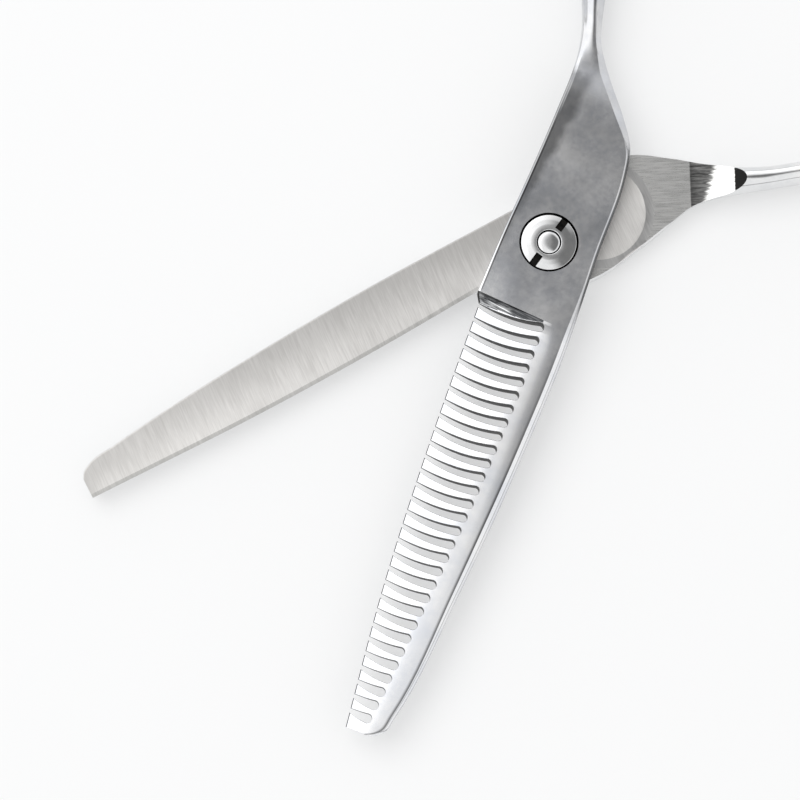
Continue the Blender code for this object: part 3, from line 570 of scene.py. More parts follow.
def rest_matrix():
    """Z along the finger rest, out of the far end of the finger ring; X towards its outer side."""
    turn = math.radians(FINGER_TILT)
    reach = RING_LENGTH * (1 + RING_BAND / RING_RADIUS)
    seat = plan_point(TOOTHED, FINGER_RING[0] - reach * math.cos(turn),
                      FINGER_RING[1] + reach * math.sin(turn), MIDDLE_HEIGHT)
    out = plan_point(TOOTHED, -math.cos(turn), math.sin(turn), 0)
    outward = Vector((0, 0, 1)).cross(out)
    outward = -outward if outward.x > 0 else outward
    return Matrix.Translation(seat) @ Matrix((outward, out.cross(outward), out)).transposed().to_4x4()


bumper_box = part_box("bumper")
bumper_middle = (bumper_box[0] + bumper_box[1]) / 2 / MM
bumper_half = (bumper_box[1] - bumper_box[0]) / 2 / MM
bumper_foot = Vector((bumper_middle.x - bumper_half.x, bumper_middle.y, bumper_middle.z))
BUMPER_FRAME = Matrix.Translation(bumper_foot) @ Matrix.Rotation(math.pi / 2, 4, "Y")
REST_FRAME = rest_matrix()
REST_SEAT, BUMPER_SEAT, STUD_HOLE = 2.6, 2.5, 1.2
REST_HOLE_DEEP, BUMPER_HOLE_DEEP, REST_SEAT_DEEP = 2.6, 2.3, 0.3
# The counterbore's wall takes finish 1, the near-black painted shade.
bores = [cylinder(COUNTERBORE, COUNTERBORE_FLOOR, 9, material=1), cylinder(BUSH_BORE, 2, 6),
         cylinder(SLIP_RECESS, 2, SLIP_TOP)]
seats = [cylinder(REST_SEAT, -REST_SEAT_DEEP, 3, REST_FRAME, 48),
         cylinder(STUD_HOLE, -REST_HOLE_DEEP, 1, REST_FRAME, 32),
         cylinder(BUMPER_SEAT, 0, 3, BUMPER_FRAME, 48),
         cylinder(STUD_HOLE, -BUMPER_HOLE_DEEP, 1, BUMPER_FRAME, 32)]
toothed_mesh = worked(to_mesh(toothed_bm, "toothed"), [slots, *bores, *seats])
print("toothed half:", len(toothed_mesh.polygons), "faces; bumper seat at",
      [round(x, 1) for x in BUMPER_FRAME.translation])

# %% [markdown]
# ## Distances from the edges
# The finishes paint shade, dark reflections and highlights along the edges of a half, and the edges are
# curved. So every point keeps how far it lies inside an edge, as an attribute that the finishes read.
# Coordinates alone could only draw straight bands.

# %% Keep distances on a mesh
def keep_distance(mesh, side, name, across):
    """Keep across(a, b), in millimetres, on every point of a half."""
    layer = mesh.attributes.new(name, "FLOAT", "POINT")
    layer.data.foreach_set("value", [across(-v.co.y, side * v.co.x) for v in mesh.vertices])


keep_distance(toothed_mesh, TOOTHED, "from_back", lambda a, b: b - toothed_back(a))
keep_distance(toothed_mesh, TOOTHED, "from_front", lambda a, b: toothed_front(a) - b)
keep_distance(toothed_mesh, TOOTHED, "from_bevel", lambda a, b: b - toothed_back(a) - toothed_bevel(a))
print("distances kept on", len(toothed_mesh.vertices), "points")

# %% [markdown]
# ## From mesh to piece
# Smooth shading with sharp edges by angle suits ground steel: flats stay flat and rounded lengths flow.
# On a neck, an angle that suits a blade would show lines that forging has rounded, so there the edges
# are judged by an angle of their own. The weighted normals keep large flats from bulging at their rims.

# %% Finish a piece
def creased(mesh, low, high, degrees):
    """Between two Y an edge stays sharp only where its faces meet at more than this angle."""
    bm = bmesh.new()
    bm.from_mesh(mesh)
    for edge in bm.edges:
        if edge.is_manifold and all(low < v.co.y < high for v in edge.verts):
            edge.smooth = edge.calc_face_angle() < math.radians(degrees)
    bm.to_mesh(mesh)
    bm.free()


def shown(name, mesh, body, nodes, finishes, matrix=None, sharp=32.0, neck=None):
    """Bring a piece modelled in millimetres to metres, give it finishes and put it on its body.

    neck gives the two Y of a forged length and the angle that still counts as an edge there.
    """
    mesh.shade_smooth()
    mesh.set_sharp_from_angle(angle=math.radians(sharp))
    if neck is not None:
        creased(mesh, *neck)
    if matrix is not None:
        mesh.transform(matrix)
    mesh.transform(Matrix.Scale(MM, 4))
    mesh.name = name
    for k, made in enumerate(finishes):
        mesh.materials[k] = made
    for _ in range(len(finishes), FINISH_COUNT):
        mesh.materials.pop()
    obj = bpy.data.objects.new(name, mesh)
    bpy.context.scene.collection.objects.link(obj)
    normals = obj.modifiers.new("even_normals", "WEIGHTED_NORMAL")
    normals.keep_sharp = True
    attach(obj, body)
    if nodes:
        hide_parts(*nodes)


print("finishes a piece can carry:", FINISH_COUNT)

# %% [markdown]
# ## The plain half
# The plain blade is flat inside and ground thin outside. Only a half-moon round the pivot, the ride,
# touches the other half: the steel beyond it is relieved, and a wheel then scoops the shank up to the
# neck, leaving a rounded tongue. The blank comes first, and it is rolled like the toothed one.

# %% Heights and sections of the plain half
PLAIN_OUTER, PLAIN_INNER = 0.3, 3.25
HONE_WIDE, HONE_DEEP, HONE_START = 0.5, 0.03, 10.2
GRIND_START, BLADE_START, EDGE_THICK = 6.0, 9.0, 0.35
BLADE_BEVEL, SHANK_BEVEL = 0.65, 0.35
TOP_BREAK, LOW_BREAK = 0.06, 0.05
plain_low_line = reader([(-41.5, 0.7), (-38.0, 0.8), (-32.0, 1.0), (-26.5, 0.9), (-23.5, 0.55),
                         (-19.0, 0.35), (-14.0, PLAIN_OUTER), (0.0, PLAIN_OUTER), (4.0, PLAIN_OUTER),
                         (20.0, 0.694), (66.6, 1.85)])
plain_top_line = reader([(-41.5, 6.05), (-36.0, 5.95), (-30.0, 5.85), (-26.0, 5.95), (-23.0, 5.7),
                         (-20.0, 4.8), (-17.0, 3.8), (-14.0, 3.28), (-12.5, PLAIN_INNER),
                         (-12.3, PLAIN_INNER), (-11.0, PLAIN_INNER), (66.6, PLAIN_INNER)])


def plain_low(a, b, back, front):
    """Height of the outer face: ground up towards the cutting edge."""
    face = plain_low_line(a)
    start = back + RIDGE_SHARE * (front - back)
    if a < GRIND_START or b <= start:
        return face
    edge = face + (PLAIN_INNER - EDGE_THICK - face) * ease(a, GRIND_START, 13.0)
    return face + (edge - face) * (b - start) / (front - start)


def plain_section(station):
    """The points of one section, from the back over the inner face and round below."""
    back, front = plain_back(station), plain_front(station)
    bevel = BLADE_BEVEL if station > BLADE_START else SHANK_BEVEL
    rounding = ease(7.0 - station, 0.0, 6.0)
    hone = (TOP_BREAK + 0.44 * rounding, TOP_BREAK + 0.28 * rounding)
    if station > HONE_START:
        hone = (HONE_WIDE, HONE_DEEP)
    top = face_points(back, front, lambda b: plain_top_line(station), (TOP_BREAK, TOP_BREAK), hone)
    low = face_points(back, front, lambda b: -plain_low(station, b, back, front),
                      (bevel, bevel * BEVEL_DROP), (LOW_BREAK, LOW_BREAK))
    low = [(b, -z) for b, z in low]
    share = 1 - ease(station, -26.5, -13.0)
    oval = ((back + front) / 2, (front - back) / 2, plain_low_line(station), plain_top_line(station))
    shape = flowing(slab(top, low), oval, share)
    return [plan_point(PLAIN, station, b, z) for b, z in shape]


print("outer face, pivot to tip:", [round(plain_low_line(a), 2) for a in (0, 30, 66)], "mm up")

# %% [markdown]
# ## Blank of the plain half
# The stations stand close together at the tip, at the start of the blade and where the slab becomes the
# neck. The inner face is ground and its cutting edge is honed, so their faces are numbered here, while
# the blank is still whole and a face is easy to find by its place.

# %% Roll the plain half
plain_stations = spaced(66.6, (65.6, 0.12), (62.0, 0.3), (11.0, 0.8), (9.0, 0.25), (-11.0, 0.8),
                        (-34.0, 0.4), (-40.0, 0.8))
plain_sections = [plain_section(s) for s in plain_stations]
plain_bm = rolled(len(plain_stations), AROUND, lambda i, j: plain_sections[i][j], ends=(True, False))
neck_rim = [e for e in plain_bm.edges if e.is_boundary]
patched = add_ring(plain_bm, PLAIN, THUMB_RING, THUMB_TILT, neck_rim)
print("plain blank:", len(plain_bm.faces), "faces; ring patch and rim:", patched)
INNER_END, INNER_NORMAL, INNER_BAND = -15.0, 0.9, 0.1
HONED_FROM, HONED_BAND = 10.3, HONE_WIDE * 0.98
for face in plain_bm.faces:
    middle = face.calc_center_median()
    a, b = -middle.y, PLAIN * middle.x
    if face.normal.z > INNER_NORMAL and a > INNER_END and middle.z > PLAIN_INNER - INNER_BAND:
        face.material_index = 3 if a > HONED_FROM and b > plain_front(a) - HONED_BAND else 2

# %% [markdown]
# ## Ride, relief and scoop
# A grinder makes two cuts on the inner face: a shallow relief that stops round the ride, and a deep
# scoop with a large wheel. The cutter here is the side view of both, pushed across the shank. A cone
# keeps the ride from the cutter, and its slope becomes the soft edge of the half-moon.

# %% Relief, wheel and ride
RIDE_CENTRE, RIDE_RADIUS = (-7.9, -1.05), 6.15
RELIEF_START, RELIEF_WIDE, RELIEF_DEEP = 4.0, 1.1, 0.12
WHEEL_START, WHEEL_RADIUS, WHEEL_TURN = 18.7, 10.5, math.radians(25.0)
WHEEL_SWING, WHEEL_STEPS = math.radians(62), 72
SCOOP_HALF, CUTTER_HIGH = 14, 9.0
STUD_HEAD, STUD_HEAD_TOP, STUD_SQUARE = 4.3, 1.5, 4.4


def scoop_mesh():
    """What the relief and the wheel take away, drawn as a side view and pushed across the shank."""
    profile = [(RELIEF_START, -RELIEF_DEEP), (WHEEL_START, -RELIEF_DEEP)]
    for swing in np.linspace(0, WHEEL_SWING, WHEEL_STEPS + 1)[1:]:
        profile.append((WHEEL_START + WHEEL_RADIUS * math.sin(swing),
                        WHEEL_RADIUS * (1 - math.cos(swing)) - RELIEF_DEEP))
    profile += [(profile[-1][0], CUTTER_HIGH), (RELIEF_START, CUTTER_HIGH)]
    bm = bmesh.new()
    verts = []
    for along, rise in profile:
        a = -along * math.cos(WHEEL_TURN) + SCOOP_HALF * math.sin(WHEEL_TURN)
        b = along * math.sin(WHEEL_TURN) + SCOOP_HALF * math.cos(WHEEL_TURN)
        verts.append(bm.verts.new(plan_point(PLAIN, a, b, PLAIN_INNER + rise)))
    side = bm.faces.new(verts)
    side.material_index = 1
    through = -2 * SCOOP_HALF
    push = plan_point(PLAIN, through * math.sin(WHEEL_TURN), through * math.cos(WHEEL_TURN), 0)
    moved = bmesh.ops.extrude_face_region(bm, geom=[side])["geom"]
    bmesh.ops.translate(bm, vec=push, verts=[g for g in moved if isinstance(g, bmesh.types.BMVert)])
    bmesh.ops.recalc_face_normals(bm, faces=bm.faces)
    return to_mesh(bm, "scoop")


def ride_pad():
    """The cone under the ride's edge, and the space above the ride, which the wheel leaves alone."""
    foot = RIDE_RADIUS + RELIEF_WIDE * (1 + 1.0 / RELIEF_DEEP)
    profile = [(0, -1 - RELIEF_DEEP), (foot, -1 - RELIEF_DEEP), (RIDE_RADIUS, 0)]
    bm = turned(profile + [(RIDE_RADIUS, CUTTER_HIGH), (0, CUTTER_HIGH)], 160)
    for face in bm.faces:
        face.material_index = 4
    bmesh.ops.translate(bm, verts=bm.verts, vec=plan_point(PLAIN, *RIDE_CENTRE, PLAIN_INNER))
    return to_mesh(bm, "ride")


def block(size, low, high):
    """A square cutter on the pivot."""
    bm = bmesh.new()
    bmesh.ops.create_cube(bm, size=1.0)
    bmesh.ops.scale(bm, vec=(size, size, high - low), verts=bm.verts)
    bmesh.ops.translate(bm, vec=(0, 0, (high + low) / 2), verts=bm.verts)
    return to_mesh(bm, "block")


scoop = worked(scoop_mesh(), [ride_pad()])
plain_mesh = worked(to_mesh(plain_bm, "plain"),
                    [scoop, cylinder(STUD_HEAD, -1, STUD_HEAD_TOP), block(STUD_SQUARE, 1.0, 6.0)])
keep_distance(plain_mesh, PLAIN, "from_back", lambda a, b: b - plain_back(a))
print("plain half:", len(plain_mesh.polygons), "faces")

# %% [markdown]
# ## The pivot: nut, stud and what lies between
# The nut is a shallow cone with a thin rounded rim and two notches for a pin key, and the domed end of
# the stud shows in its middle. They are turned on a lathe, so spin is the natural tool, and the two
# notches are milled out afterwards.

# %% Nut and stud
NUT_RADIUS, NUT_HUB, NUT_BORE = 3.56, 2.25, 1.57
NUT_FOOT, NUT_LOW, NUT_TOP, NUT_ROUNDING = 5.4, 6.3, 7.25, 0.07
STUD_END, DOME_LOW, DOME_RISE, STUD_ROUNDING = 1.4, 6.97, 0.19, 0.1
NOTCH_WIDE, NOTCH_START, NOTCH_FLOOR, NOTCH_TURN = 0.96, 1.98, 6.65, 75.4
NOTCH_LONG, NOTCH_TALL = 3.0, 2.0


def notch(turn):
    """One of the two key notches, at its turn about the nut."""
    bm = bmesh.new()
    bmesh.ops.create_cube(bm, size=1.0)
    bmesh.ops.scale(bm, vec=(NOTCH_LONG, NOTCH_WIDE, NOTCH_TALL), verts=bm.verts)
    middle = (NOTCH_START + NOTCH_LONG / 2, 0, NOTCH_FLOOR + NOTCH_TALL / 2)
    bmesh.ops.translate(bm, vec=middle, verts=bm.verts)
    bmesh.ops.rotate(bm, matrix=Matrix.Rotation(math.radians(turn), 3, "Z"), verts=bm.verts)
    # The notch walls take finish 1, the near-black wall finish: painted shade inside the notches.
    for face in bm.faces:
        face.material_index = 1
    return to_mesh(bm, "notch")


nut_profile = rounded([(NUT_BORE, NUT_FOOT), (NUT_HUB, NUT_FOOT), (NUT_HUB, NUT_LOW), (NUT_RADIUS, NUT_LOW),
                       (NUT_RADIUS, 7.0), (3.5, 7.03), (2.9, 7.14), (2.3, 7.215), (NUT_BORE + 0.02, NUT_TOP),
                       (NUT_BORE, 6.9)], NUT_ROUNDING)
nut_mesh = worked(to_mesh(turned(nut_profile, 128), "nut"), [notch(NOTCH_TURN), notch(NOTCH_TURN + 180)])
stud_profile = rounded([(0, 0), (3.6, 0), (4.0, 0.4), (4.0, 1.2), (1.9, 1.2), (1.9, 5.05),
                        (STUD_END, 5.25), (STUD_END, 6.92)], STUD_ROUNDING)
dome = [(STUD_END * math.cos(t) ** 0.7, DOME_LOW + DOME_RISE * math.sin(t))
        for t in np.linspace(0, math.pi / 2, 14)[1:]]
stud_mesh = worked(to_mesh(turned(stud_profile + dome), "stud"), [block(3.8, 1.0, 3.3)], "UNION")
print("nut:", len(nut_mesh.polygons), "faces, stud:", len(stud_mesh.polygons), "faces")

# %% [markdown]
# ## Finger rest
# The finger rest is a curled tang that screws into the far end of the finger ring, for the little
# finger. A tang is drawn down from round bar, so it is a rolled grid whose section shrinks along its
# path. A curve with a round bevel would be as good, but its end would need a cap of its own.

# %% Tang
TANG_AROUND, TANG_END_STEPS, TANG_END_LONG = 24, 6, 1.3
tang_line = drawn([(0.75, 0.0), (3.0, 0.05), (6.0, 0.3), (12.0, 2.6), (16.8, 7.4), (18.6, 13.4)], 10)
run = np.concatenate(([0.0], np.cumsum(np.linalg.norm(np.diff(tang_line, axis=0), axis=1))))
radii = reader([(0.0, 2.1), (0.15, 2.3), (0.9, 2.3), (1.3, 2.1), (2.4, 1.65), (4.0, 1.5), (12.0, 1.4),
                (21.0, 1.3), (30.0, 1.3)])


def tang_point(i, j):
    """A round section square to the path; the last stations close on a rounded end."""
    last = len(tang_line) - 1
    k = min(i, last)
    step = Vector(tang_line[min(k + 1, last)] - tang_line[max(k - 1, 0)]).normalized()
    turn = math.tau * j / TANG_AROUND
    over = (i - last) / TANG_END_STEPS if i > last else 0.0
    radius = radii(run[k]) * math.sqrt(max(1 - over * over, 0.02))
    along, out = Vector(tang_line[k]) + step * over * TANG_END_LONG
    across = Vector((step.x, -step.y)) * math.cos(turn) * radius
    return REST_FRAME @ Vector((out + across.x, math.sin(turn) * radius, along + across.y))


rest_mesh = to_mesh(rolled(len(tang_line) + TANG_END_STEPS, TANG_AROUND, tang_point), "rest")
print("tang:", len(rest_mesh.polygons), "faces")

# %% [markdown]
# ## Bumper
# The bumper is a short rubber plug, moulded hollow so that it grips the stud inside it. Its free end is
# dished and rounded, because that end meets the other ring at every cut.

# %% Bumper
BUMPER_RADIUS, BUMPER_BORE, BUMPER_DISH = 2.1, 1.1, 0.35
bumper_long = 2 * bumper_half.x
bumper_profile = rounded([(BUMPER_BORE, 0), (BUMPER_RADIUS, 0), (BUMPER_RADIUS, bumper_long - 0.9),
                          (1.9, bumper_long - 0.3), (1.2, bumper_long), (0.8, bumper_long - BUMPER_DISH),
                          (0, bumper_long - BUMPER_DISH)], 0.3)
bumper_profile += [(0, bumper_long - 1.0), (BUMPER_BORE, bumper_long - 1.0)]
plug = turned(rounded(bumper_profile, 0.02, 1), 64)
bmesh.ops.transform(plug, matrix=BUMPER_FRAME, verts=plug.verts)
bumper_mesh = to_mesh(plug, "bumper_rubber")
print("bumper length", round(bumper_long, 2), "mm")

# %% [markdown]
# ## Writing finishes as sums
# A finish is a sum of patterns: clouds left by the buffing wheel, hairs left by the belt. Nodes
# joined one by one hide that sum, so a small class wraps a socket and lets Python add, multiply and
# subtract sockets. Everything else comes from one method that makes any node.

# %% Sockets in sums
class Steel:
    """A node socket of a finish that can be used in arithmetic."""

    def __init__(self, finish, socket):
        self.finish, self.socket = finish, socket

    def _with(self, operation, first, second):
        return self.finish.node("ShaderNodeMath", {"operation": operation}, first, second)

    def __add__(self, other):
        return self._with("ADD", self, other)

    def __sub__(self, other):
        return self._with("SUBTRACT", self, other)

    def __rsub__(self, other):
        return self._with("SUBTRACT", other, self)

    def __mul__(self, other):
        return self._with("MULTIPLY", self, other)

    def __truediv__(self, other):
        return self._with("DIVIDE", self, other)

    def __rtruediv__(self, other):
        return self._with("DIVIDE", other, self)

    __radd__, __rmul__ = __add__, __mul__


class Finish:
    """A node tree in the making: a material's, or the light tent's."""

    def __init__(self, owner):
        owner.use_nodes = True
        self.owner, self.tree = owner, owner.node_tree

    def node(self, kind, settings=None, *values, out=0, **named):
        """Any node: its settings first, then its inputs by place or by name."""
        made = self.tree.nodes.new(kind)
        for key, value in (settings or {}).items():
            if key == "stops":
                ramp = made.color_ramp
                while len(ramp.elements) < len(value):
                    ramp.elements.new(0.5)
                for stop, (at, colour) in zip(ramp.elements, value):
                    stop.position, stop.color = at, (*colour, 1.0)
            else:
                setattr(made, key, value)
        for key, value in [*enumerate(values), *named.items()]:
            socket = made.inputs[key]
            if isinstance(value, Steel):
                self.tree.links.new(value.socket, socket)
            else:
                socket.default_value = value
        return Steel(self, made.outputs[out])

    def put(self, name, value, shader="Principled BSDF"):
        """Set a shader's socket, or link a value to it."""
        socket = self.tree.nodes[shader].inputs[name]
        if isinstance(value, Steel):
            self.tree.links.new(value.socket, socket)
        else:
            socket.default_value = value


print("sums may start with a number:", all(hasattr(Steel, f"__r{name}__") for name in ("add", "sub", "mul")))

# %% [markdown]
# ## Words of the finishes
# A few words are used again and again: millimetres on the piece, a cloudy pattern, a soft step between
# two values, a tint and a bump. Object coordinates are right for steel, because its marks cut straight
# across the piece, whatever its surface does.

# %% Patterns and steps
def tinted(finish, low, high, share):
    """A colour between two, by a value from 0 to 1."""
    return finish.node("ShaderNodeValToRGB", {"stops": [(0.0, low), (1.0, high)]}, share)


def millimetres(finish, turn=0.0, stretch=(1, 1, 1)):
    """Object coordinates in millimetres, turned about the pivot and stretched along the grain."""
    where = finish.node("ShaderNodeTexCoord", out="Object")
    turned_axes = finish.node("ShaderNodeMapping", {}, where, (0, 0, 0), (0, 0, turn), (1000, 1000, 1000))
    return finish.node("ShaderNodeMapping", {}, turned_axes, (0, 0, 0), (0, 0, 0), stretch)


def pattern(finish, where, scale, detail=2.0, rough=0.5):
    """Soft random clouds, from 0 to 1."""
    amounts = {"Scale": scale, "Detail": detail, "Roughness": rough}
    return finish.node("ShaderNodeTexNoise", {}, where, **amounts)


def axes(finish, where):
    """The X, Y and Z of a point as values."""
    split = finish.node("ShaderNodeSeparateXYZ", {}, where).socket.node
    return [Steel(finish, socket) for socket in split.outputs]


def between(finish, value, low, high, start=0.0, end=1.0, smooth=True):
    """From start to end as a value goes from low to high."""
    kind = "SMOOTHSTEP" if smooth else "LINEAR"
    return finish.node("ShaderNodeMapRange", {"interpolation_type": kind}, value, low, high, start, end)


def bumped(finish, height, strength, deep):
    """Relief for the Normal socket, deep in metres."""
    return finish.node("ShaderNodeBump", {}, **{"Height": height, "Strength": strength, "Distance": deep})


print("marks are measured in", MM, "m")

# %% [markdown]
# ## Steel finishes
# Stainless steel looks different by how it was last touched. The outside of the halves is buffed to a
# soft cloudy mirror, the inside is ground on a belt that leaves fine hairs, and the neck is
# polished bright. All are bare metal, so only tint, roughness and relief change.

# %% Finishes of the halves
def buffed_steel(name, low=(0.62, 0.635, 0.67), high=(0.74, 0.74, 0.745), rough=(0.13, 0.2), cloud=0.14):
    """Steel buffed to a soft mirror, with faint clouds and hairs."""
    finish = Finish(bpy.data.materials.new(name))
    where = millimetres(finish)
    clouds = pattern(finish, where, cloud, 4.0, 0.6)
    mottle = pattern(finish, where, 1.3, 3.0, 0.65)
    hairs = pattern(finish, millimetres(finish, 0.35, (1.0, 9.0, 1.0)), 2.2, 3.0, 0.7)
    tone = clouds * 0.6 + mottle * 0.2 + hairs * 0.2
    finish.put("Base Color", tinted(finish, low, high, between(finish, tone, 0.36, 0.64)))
    finish.put("Roughness", between(finish, mottle * 0.5 + clouds * 0.5, 0.3, 0.7, *rough))
    finish.put("Metallic", 1.0)
    finish.put("Normal", bumped(finish, mottle + hairs * 0.5, 0.04, 0.00002))
    return finish.owner


def belt_steel(name, turn, low, high, rough, stretch=(0.3, 7.0, 1.0), depth=0.3):
    """Belt-ground steel with hairs along X after the turn."""
    finish = Finish(bpy.data.materials.new(name))
    hairs = pattern(finish, millimetres(finish, turn, stretch), 0.9, 3.0, 0.7)
    strokes = pattern(finish, millimetres(finish, turn, (0.12, 2.2, 1.0)), 0.9, 3.0, 0.6)
    clouds = pattern(finish, millimetres(finish), 0.12, 2.0)
    tone = hairs * 0.55 + strokes * 0.18 + clouds * 0.27
    finish.put("Base Color", tinted(finish, low, high, between(finish, tone, 0.35, 0.65)))
    finish.put("Roughness", between(finish, hairs, 0.3, 0.7, *rough))
    finish.put("Metallic", 1.0)
    finish.put("Normal", bumped(finish, hairs, depth, 0.00001))
    return finish.owner


plain_turn = -OPENING
grain_turn = plain_turn + math.radians(3)
bright = buffed_steel("bright_steel", (0.74, 0.75, 0.76), (0.84, 0.84, 0.84), (0.08, 0.14), 0.3)
# painted shade: near-black steel for the slot walls, tooth ends, key notches and the counterbore's wall
painted_shade_wall = belt_steel("painted_shade_wall_steel", 0.0, (0.008, 0.008, 0.008), (0.03, 0.028, 0.026), (0.4, 0.55),
                       (1, 1, 8))
# painted shade: the step of the ricasso is dark steel, with its tone drawn at the ricasso below
step_steel = belt_steel("step_steel", math.radians(8), (0.05, 0.052, 0.058), (0.62, 0.62, 0.61), (0.25, 0.4),
                        (0.4, 6.0, 1.0))
ground = belt_steel("belt_ground_steel", grain_turn, (0.70, 0.685, 0.665), (0.84, 0.825, 0.805), (0.36, 0.46))
relief = belt_steel("relief_steel", grain_turn, (0.50, 0.50, 0.495), (0.58, 0.575, 0.57), (0.3, 0.4))
honed = belt_steel("honed_steel", grain_turn, (0.6, 0.595, 0.575), (0.72, 0.71, 0.69), (0.3, 0.4))
print("steels:", [m.name for m in bpy.data.materials if m.name.endswith("steel")])

# %% [markdown]
# ## Painted shade and light on the toothed half
# Shade, highlights and dark reflections are painted into the tone: a dark band beside the front edge of the
# shank, hair-thin dark lines along the edges, a contact shadow on the back bevel, shade along the back of the
# blade, a bright rim and a lighter front. Each mark is a soft step on a kept distance, limited in Y, and
# together they multiply the tone. Painting a map by hand would do it, but not for the next pair.

# %% Painted shade along the edges
cloudy = buffed_steel("cloudy_steel")
finish = Finish(cloudy)


def kept_distance(finish, name):
    """A distance kept on the mesh."""
    return finish.node("ShaderNodeAttribute", {"attribute_name": name}, out="Fac")


def painted(finish, shade):
    """Multiply the finish's tone by a value."""
    tone = finish.tree.nodes["Principled BSDF"].inputs["Base Color"].links[0].from_socket
    scaled = {"operation": "SCALE"}
    finish.put("Base Color", finish.node("ShaderNodeVectorMath", scaled, Steel(finish, tone), Scale=shade))


from_back, from_front = kept_distance(finish, "from_back"), kept_distance(finish, "from_front")
from_bevel = kept_distance(finish, "from_bevel")
y = axes(finish, millimetres(finish))[1]
soft = pattern(finish, millimetres(finish), 0.45, 3.0, 0.6) - 0.5
broad = pattern(finish, millimetres(finish), 0.16, 2.0, 0.5) - 0.5
band_wide = between(finish, y, -2.0, 23.0, 0.3, 2.6, False) + soft * 1.6
# painted shade: a dark soft band beside the front edge of the shank, its width wandering
painted_shade_band = between(finish, from_front - band_wide, 0.9, -0.5) * between(finish, y, -9.0, 4.0)
painted_shade_band = painted_shade_band * between(finish, y + soft * 3.0, 23.0, 21.2) * (0.5 + broad * 0.8)
# painted reflections: two hair-thin dark lines along the rounded front edge
painted_edge_lines = between(finish, from_front, 0.5, 0.38) * between(finish, from_front, 0.2, 0.28)
painted_edge_lines = painted_edge_lines * 0.75 + between(finish, from_front, 0.07, 0.04) * 0.5
painted_edge_lines = painted_edge_lines * between(finish, y, -9.3, -8.6) * between(finish, y, 24.0, 14.0)
# painted shadow: a dark strip on the outer part of the back bevel, where the halves meet
painted_contact_shadow = between(finish, from_back, 0.34, 0.24) * between(finish, y, -9.0, -5.0)
painted_contact_shadow = painted_contact_shadow * between(finish, y, 17.0, 13.0)
# painted shade: the blade darkens towards its back, and most just inside the bevel
wide = between(finish, y, -52.0, -14.0, 0.9, 2.6)
painted_spine_shade = between(finish, from_bevel - wide, 0.0, -2.2, 0.0, 0.32)
painted_spine_shade = painted_spine_shade + between(finish, from_bevel, 3.8, 2.4) * 0.16
painted_spine_shade = painted_spine_shade * between(finish, y, -4.0, -16.0) * between(finish, y, -52.0, -22.0, 0.15, 1.0)
painted_bevel_edge_shade = between(finish, y, -8.0, -20.0) * between(finish, y, -20.0, -42.0, 0.22, 0.72)
painted_spine_shade = painted_spine_shade + between(finish, from_bevel, 0.45, 0.03) * painted_bevel_edge_shade
painted_spine_shade = painted_spine_shade * between(finish, from_bevel, -0.06, 0.02)
body = between(finish, y, -12.0, -8.0)
# painted shade: a faint dark line on the back bevel near the ricasso
painted_bevel_line_shade = between(finish, from_back, 0.45, 0.4) * between(finish, from_back, 0.28, 0.33)
painted_bevel_line_shade = painted_bevel_line_shade * between(finish, y, -3.0, -9.0) * 0.3
# painted highlight: a bright line just inside the front edge of the body
rim = between(finish, from_front, 0.26, 0.18) * between(finish, from_front, 0.05, 0.08) * body
rim = rim * between(finish, y, 24.0, 14.0) * 0.3
# painted light: the face lightens towards the front edge just before the ricasso
painted_front_light = between(finish, from_front, 6.0, 0.5) * between(finish, y, -1.0, -9.0)
painted_front_light = painted_front_light * between(finish, y, -12.0, -9.5) * 0.4
# The blade is painted lighter than the body, x1.2 against about x0.92, as painted light; the body's tone also
# varies at random.
shade = (1.0 - painted_shade_band) * (1.0 - painted_edge_lines) * (1.0 - painted_spine_shade) * (1.0 - painted_bevel_line_shade)
shade = shade * (1.0 - painted_contact_shadow * 0.75) * (1.0 + rim)
shade = shade * (1.2 + body * (broad * 0.5 + soft * 0.15 - 0.28)) + painted_front_light
painted(finish, shade)
print("marks on", cloudy.name, "nodes:", len(finish.tree.nodes))

# %% [markdown]
# ## Painted shade and highlight at the ricasso
# The step of the ricasso is ground across, so it is streaked. Its dark tone is painted shade, darker at its
# top line and towards the root, and one bright crest is a painted highlight. Streaks are a pattern stretched
# along the wheel's path, and the crest is a line drawn by its distance from a slanting straight.

# %% Streaks, painted shade and painted crest
finish = Finish(step_steel)
x, y = axes(finish, millimetres(finish))[:2]
along = x + toothed_front(RICASSO_A)
down = (-RICASSO_A) - y - along * 0.049
grain = pattern(finish, millimetres(finish, 0.12, (0.35, 4.0, 1.0)), 1.2, 2.0, 0.6)
# painted highlight: one bright crest across the step
painted_crest_highlight = finish.node("ShaderNodeMath", {"operation": "ABSOLUTE"}, down - 0.2 - along * 0.11)
painted_crest_highlight = between(finish, painted_crest_highlight, 0.08, 0.02) * between(finish, along, 1.2, 2.2)
painted_crest_highlight = painted_crest_highlight * between(finish, along, 5.4, 4.2)
# painted shade: dark overall, darker towards the root and at the top line
tone = between(finish, grain, 0.4, 0.6, 0.08, 0.42) * between(finish, along, 3.8, 5.4, 1.0, 0.35)
tone = tone * between(finish, down, 0.06, 0.14, 0.1, 1.0) + painted_crest_highlight * 0.75
finish.put("Base Color", tinted(finish, (0.03, 0.032, 0.036), (0.9, 0.91, 0.92), tone))
print("marks on", step_steel.name, "nodes:", len(finish.tree.nodes))

# %% [markdown]
# ## Painted reflections in the scoop
# The scoop keeps the hairs of a coarse wheel, and its reflections are painted into the tone: a dark band
# where the wheel bites in, a ragged bright one after it, and a dark end where it leaves the steel. The bands
# lie across the wheel's path, so the coordinates are turned with it, and stretched streaks make their edges
# ragged.

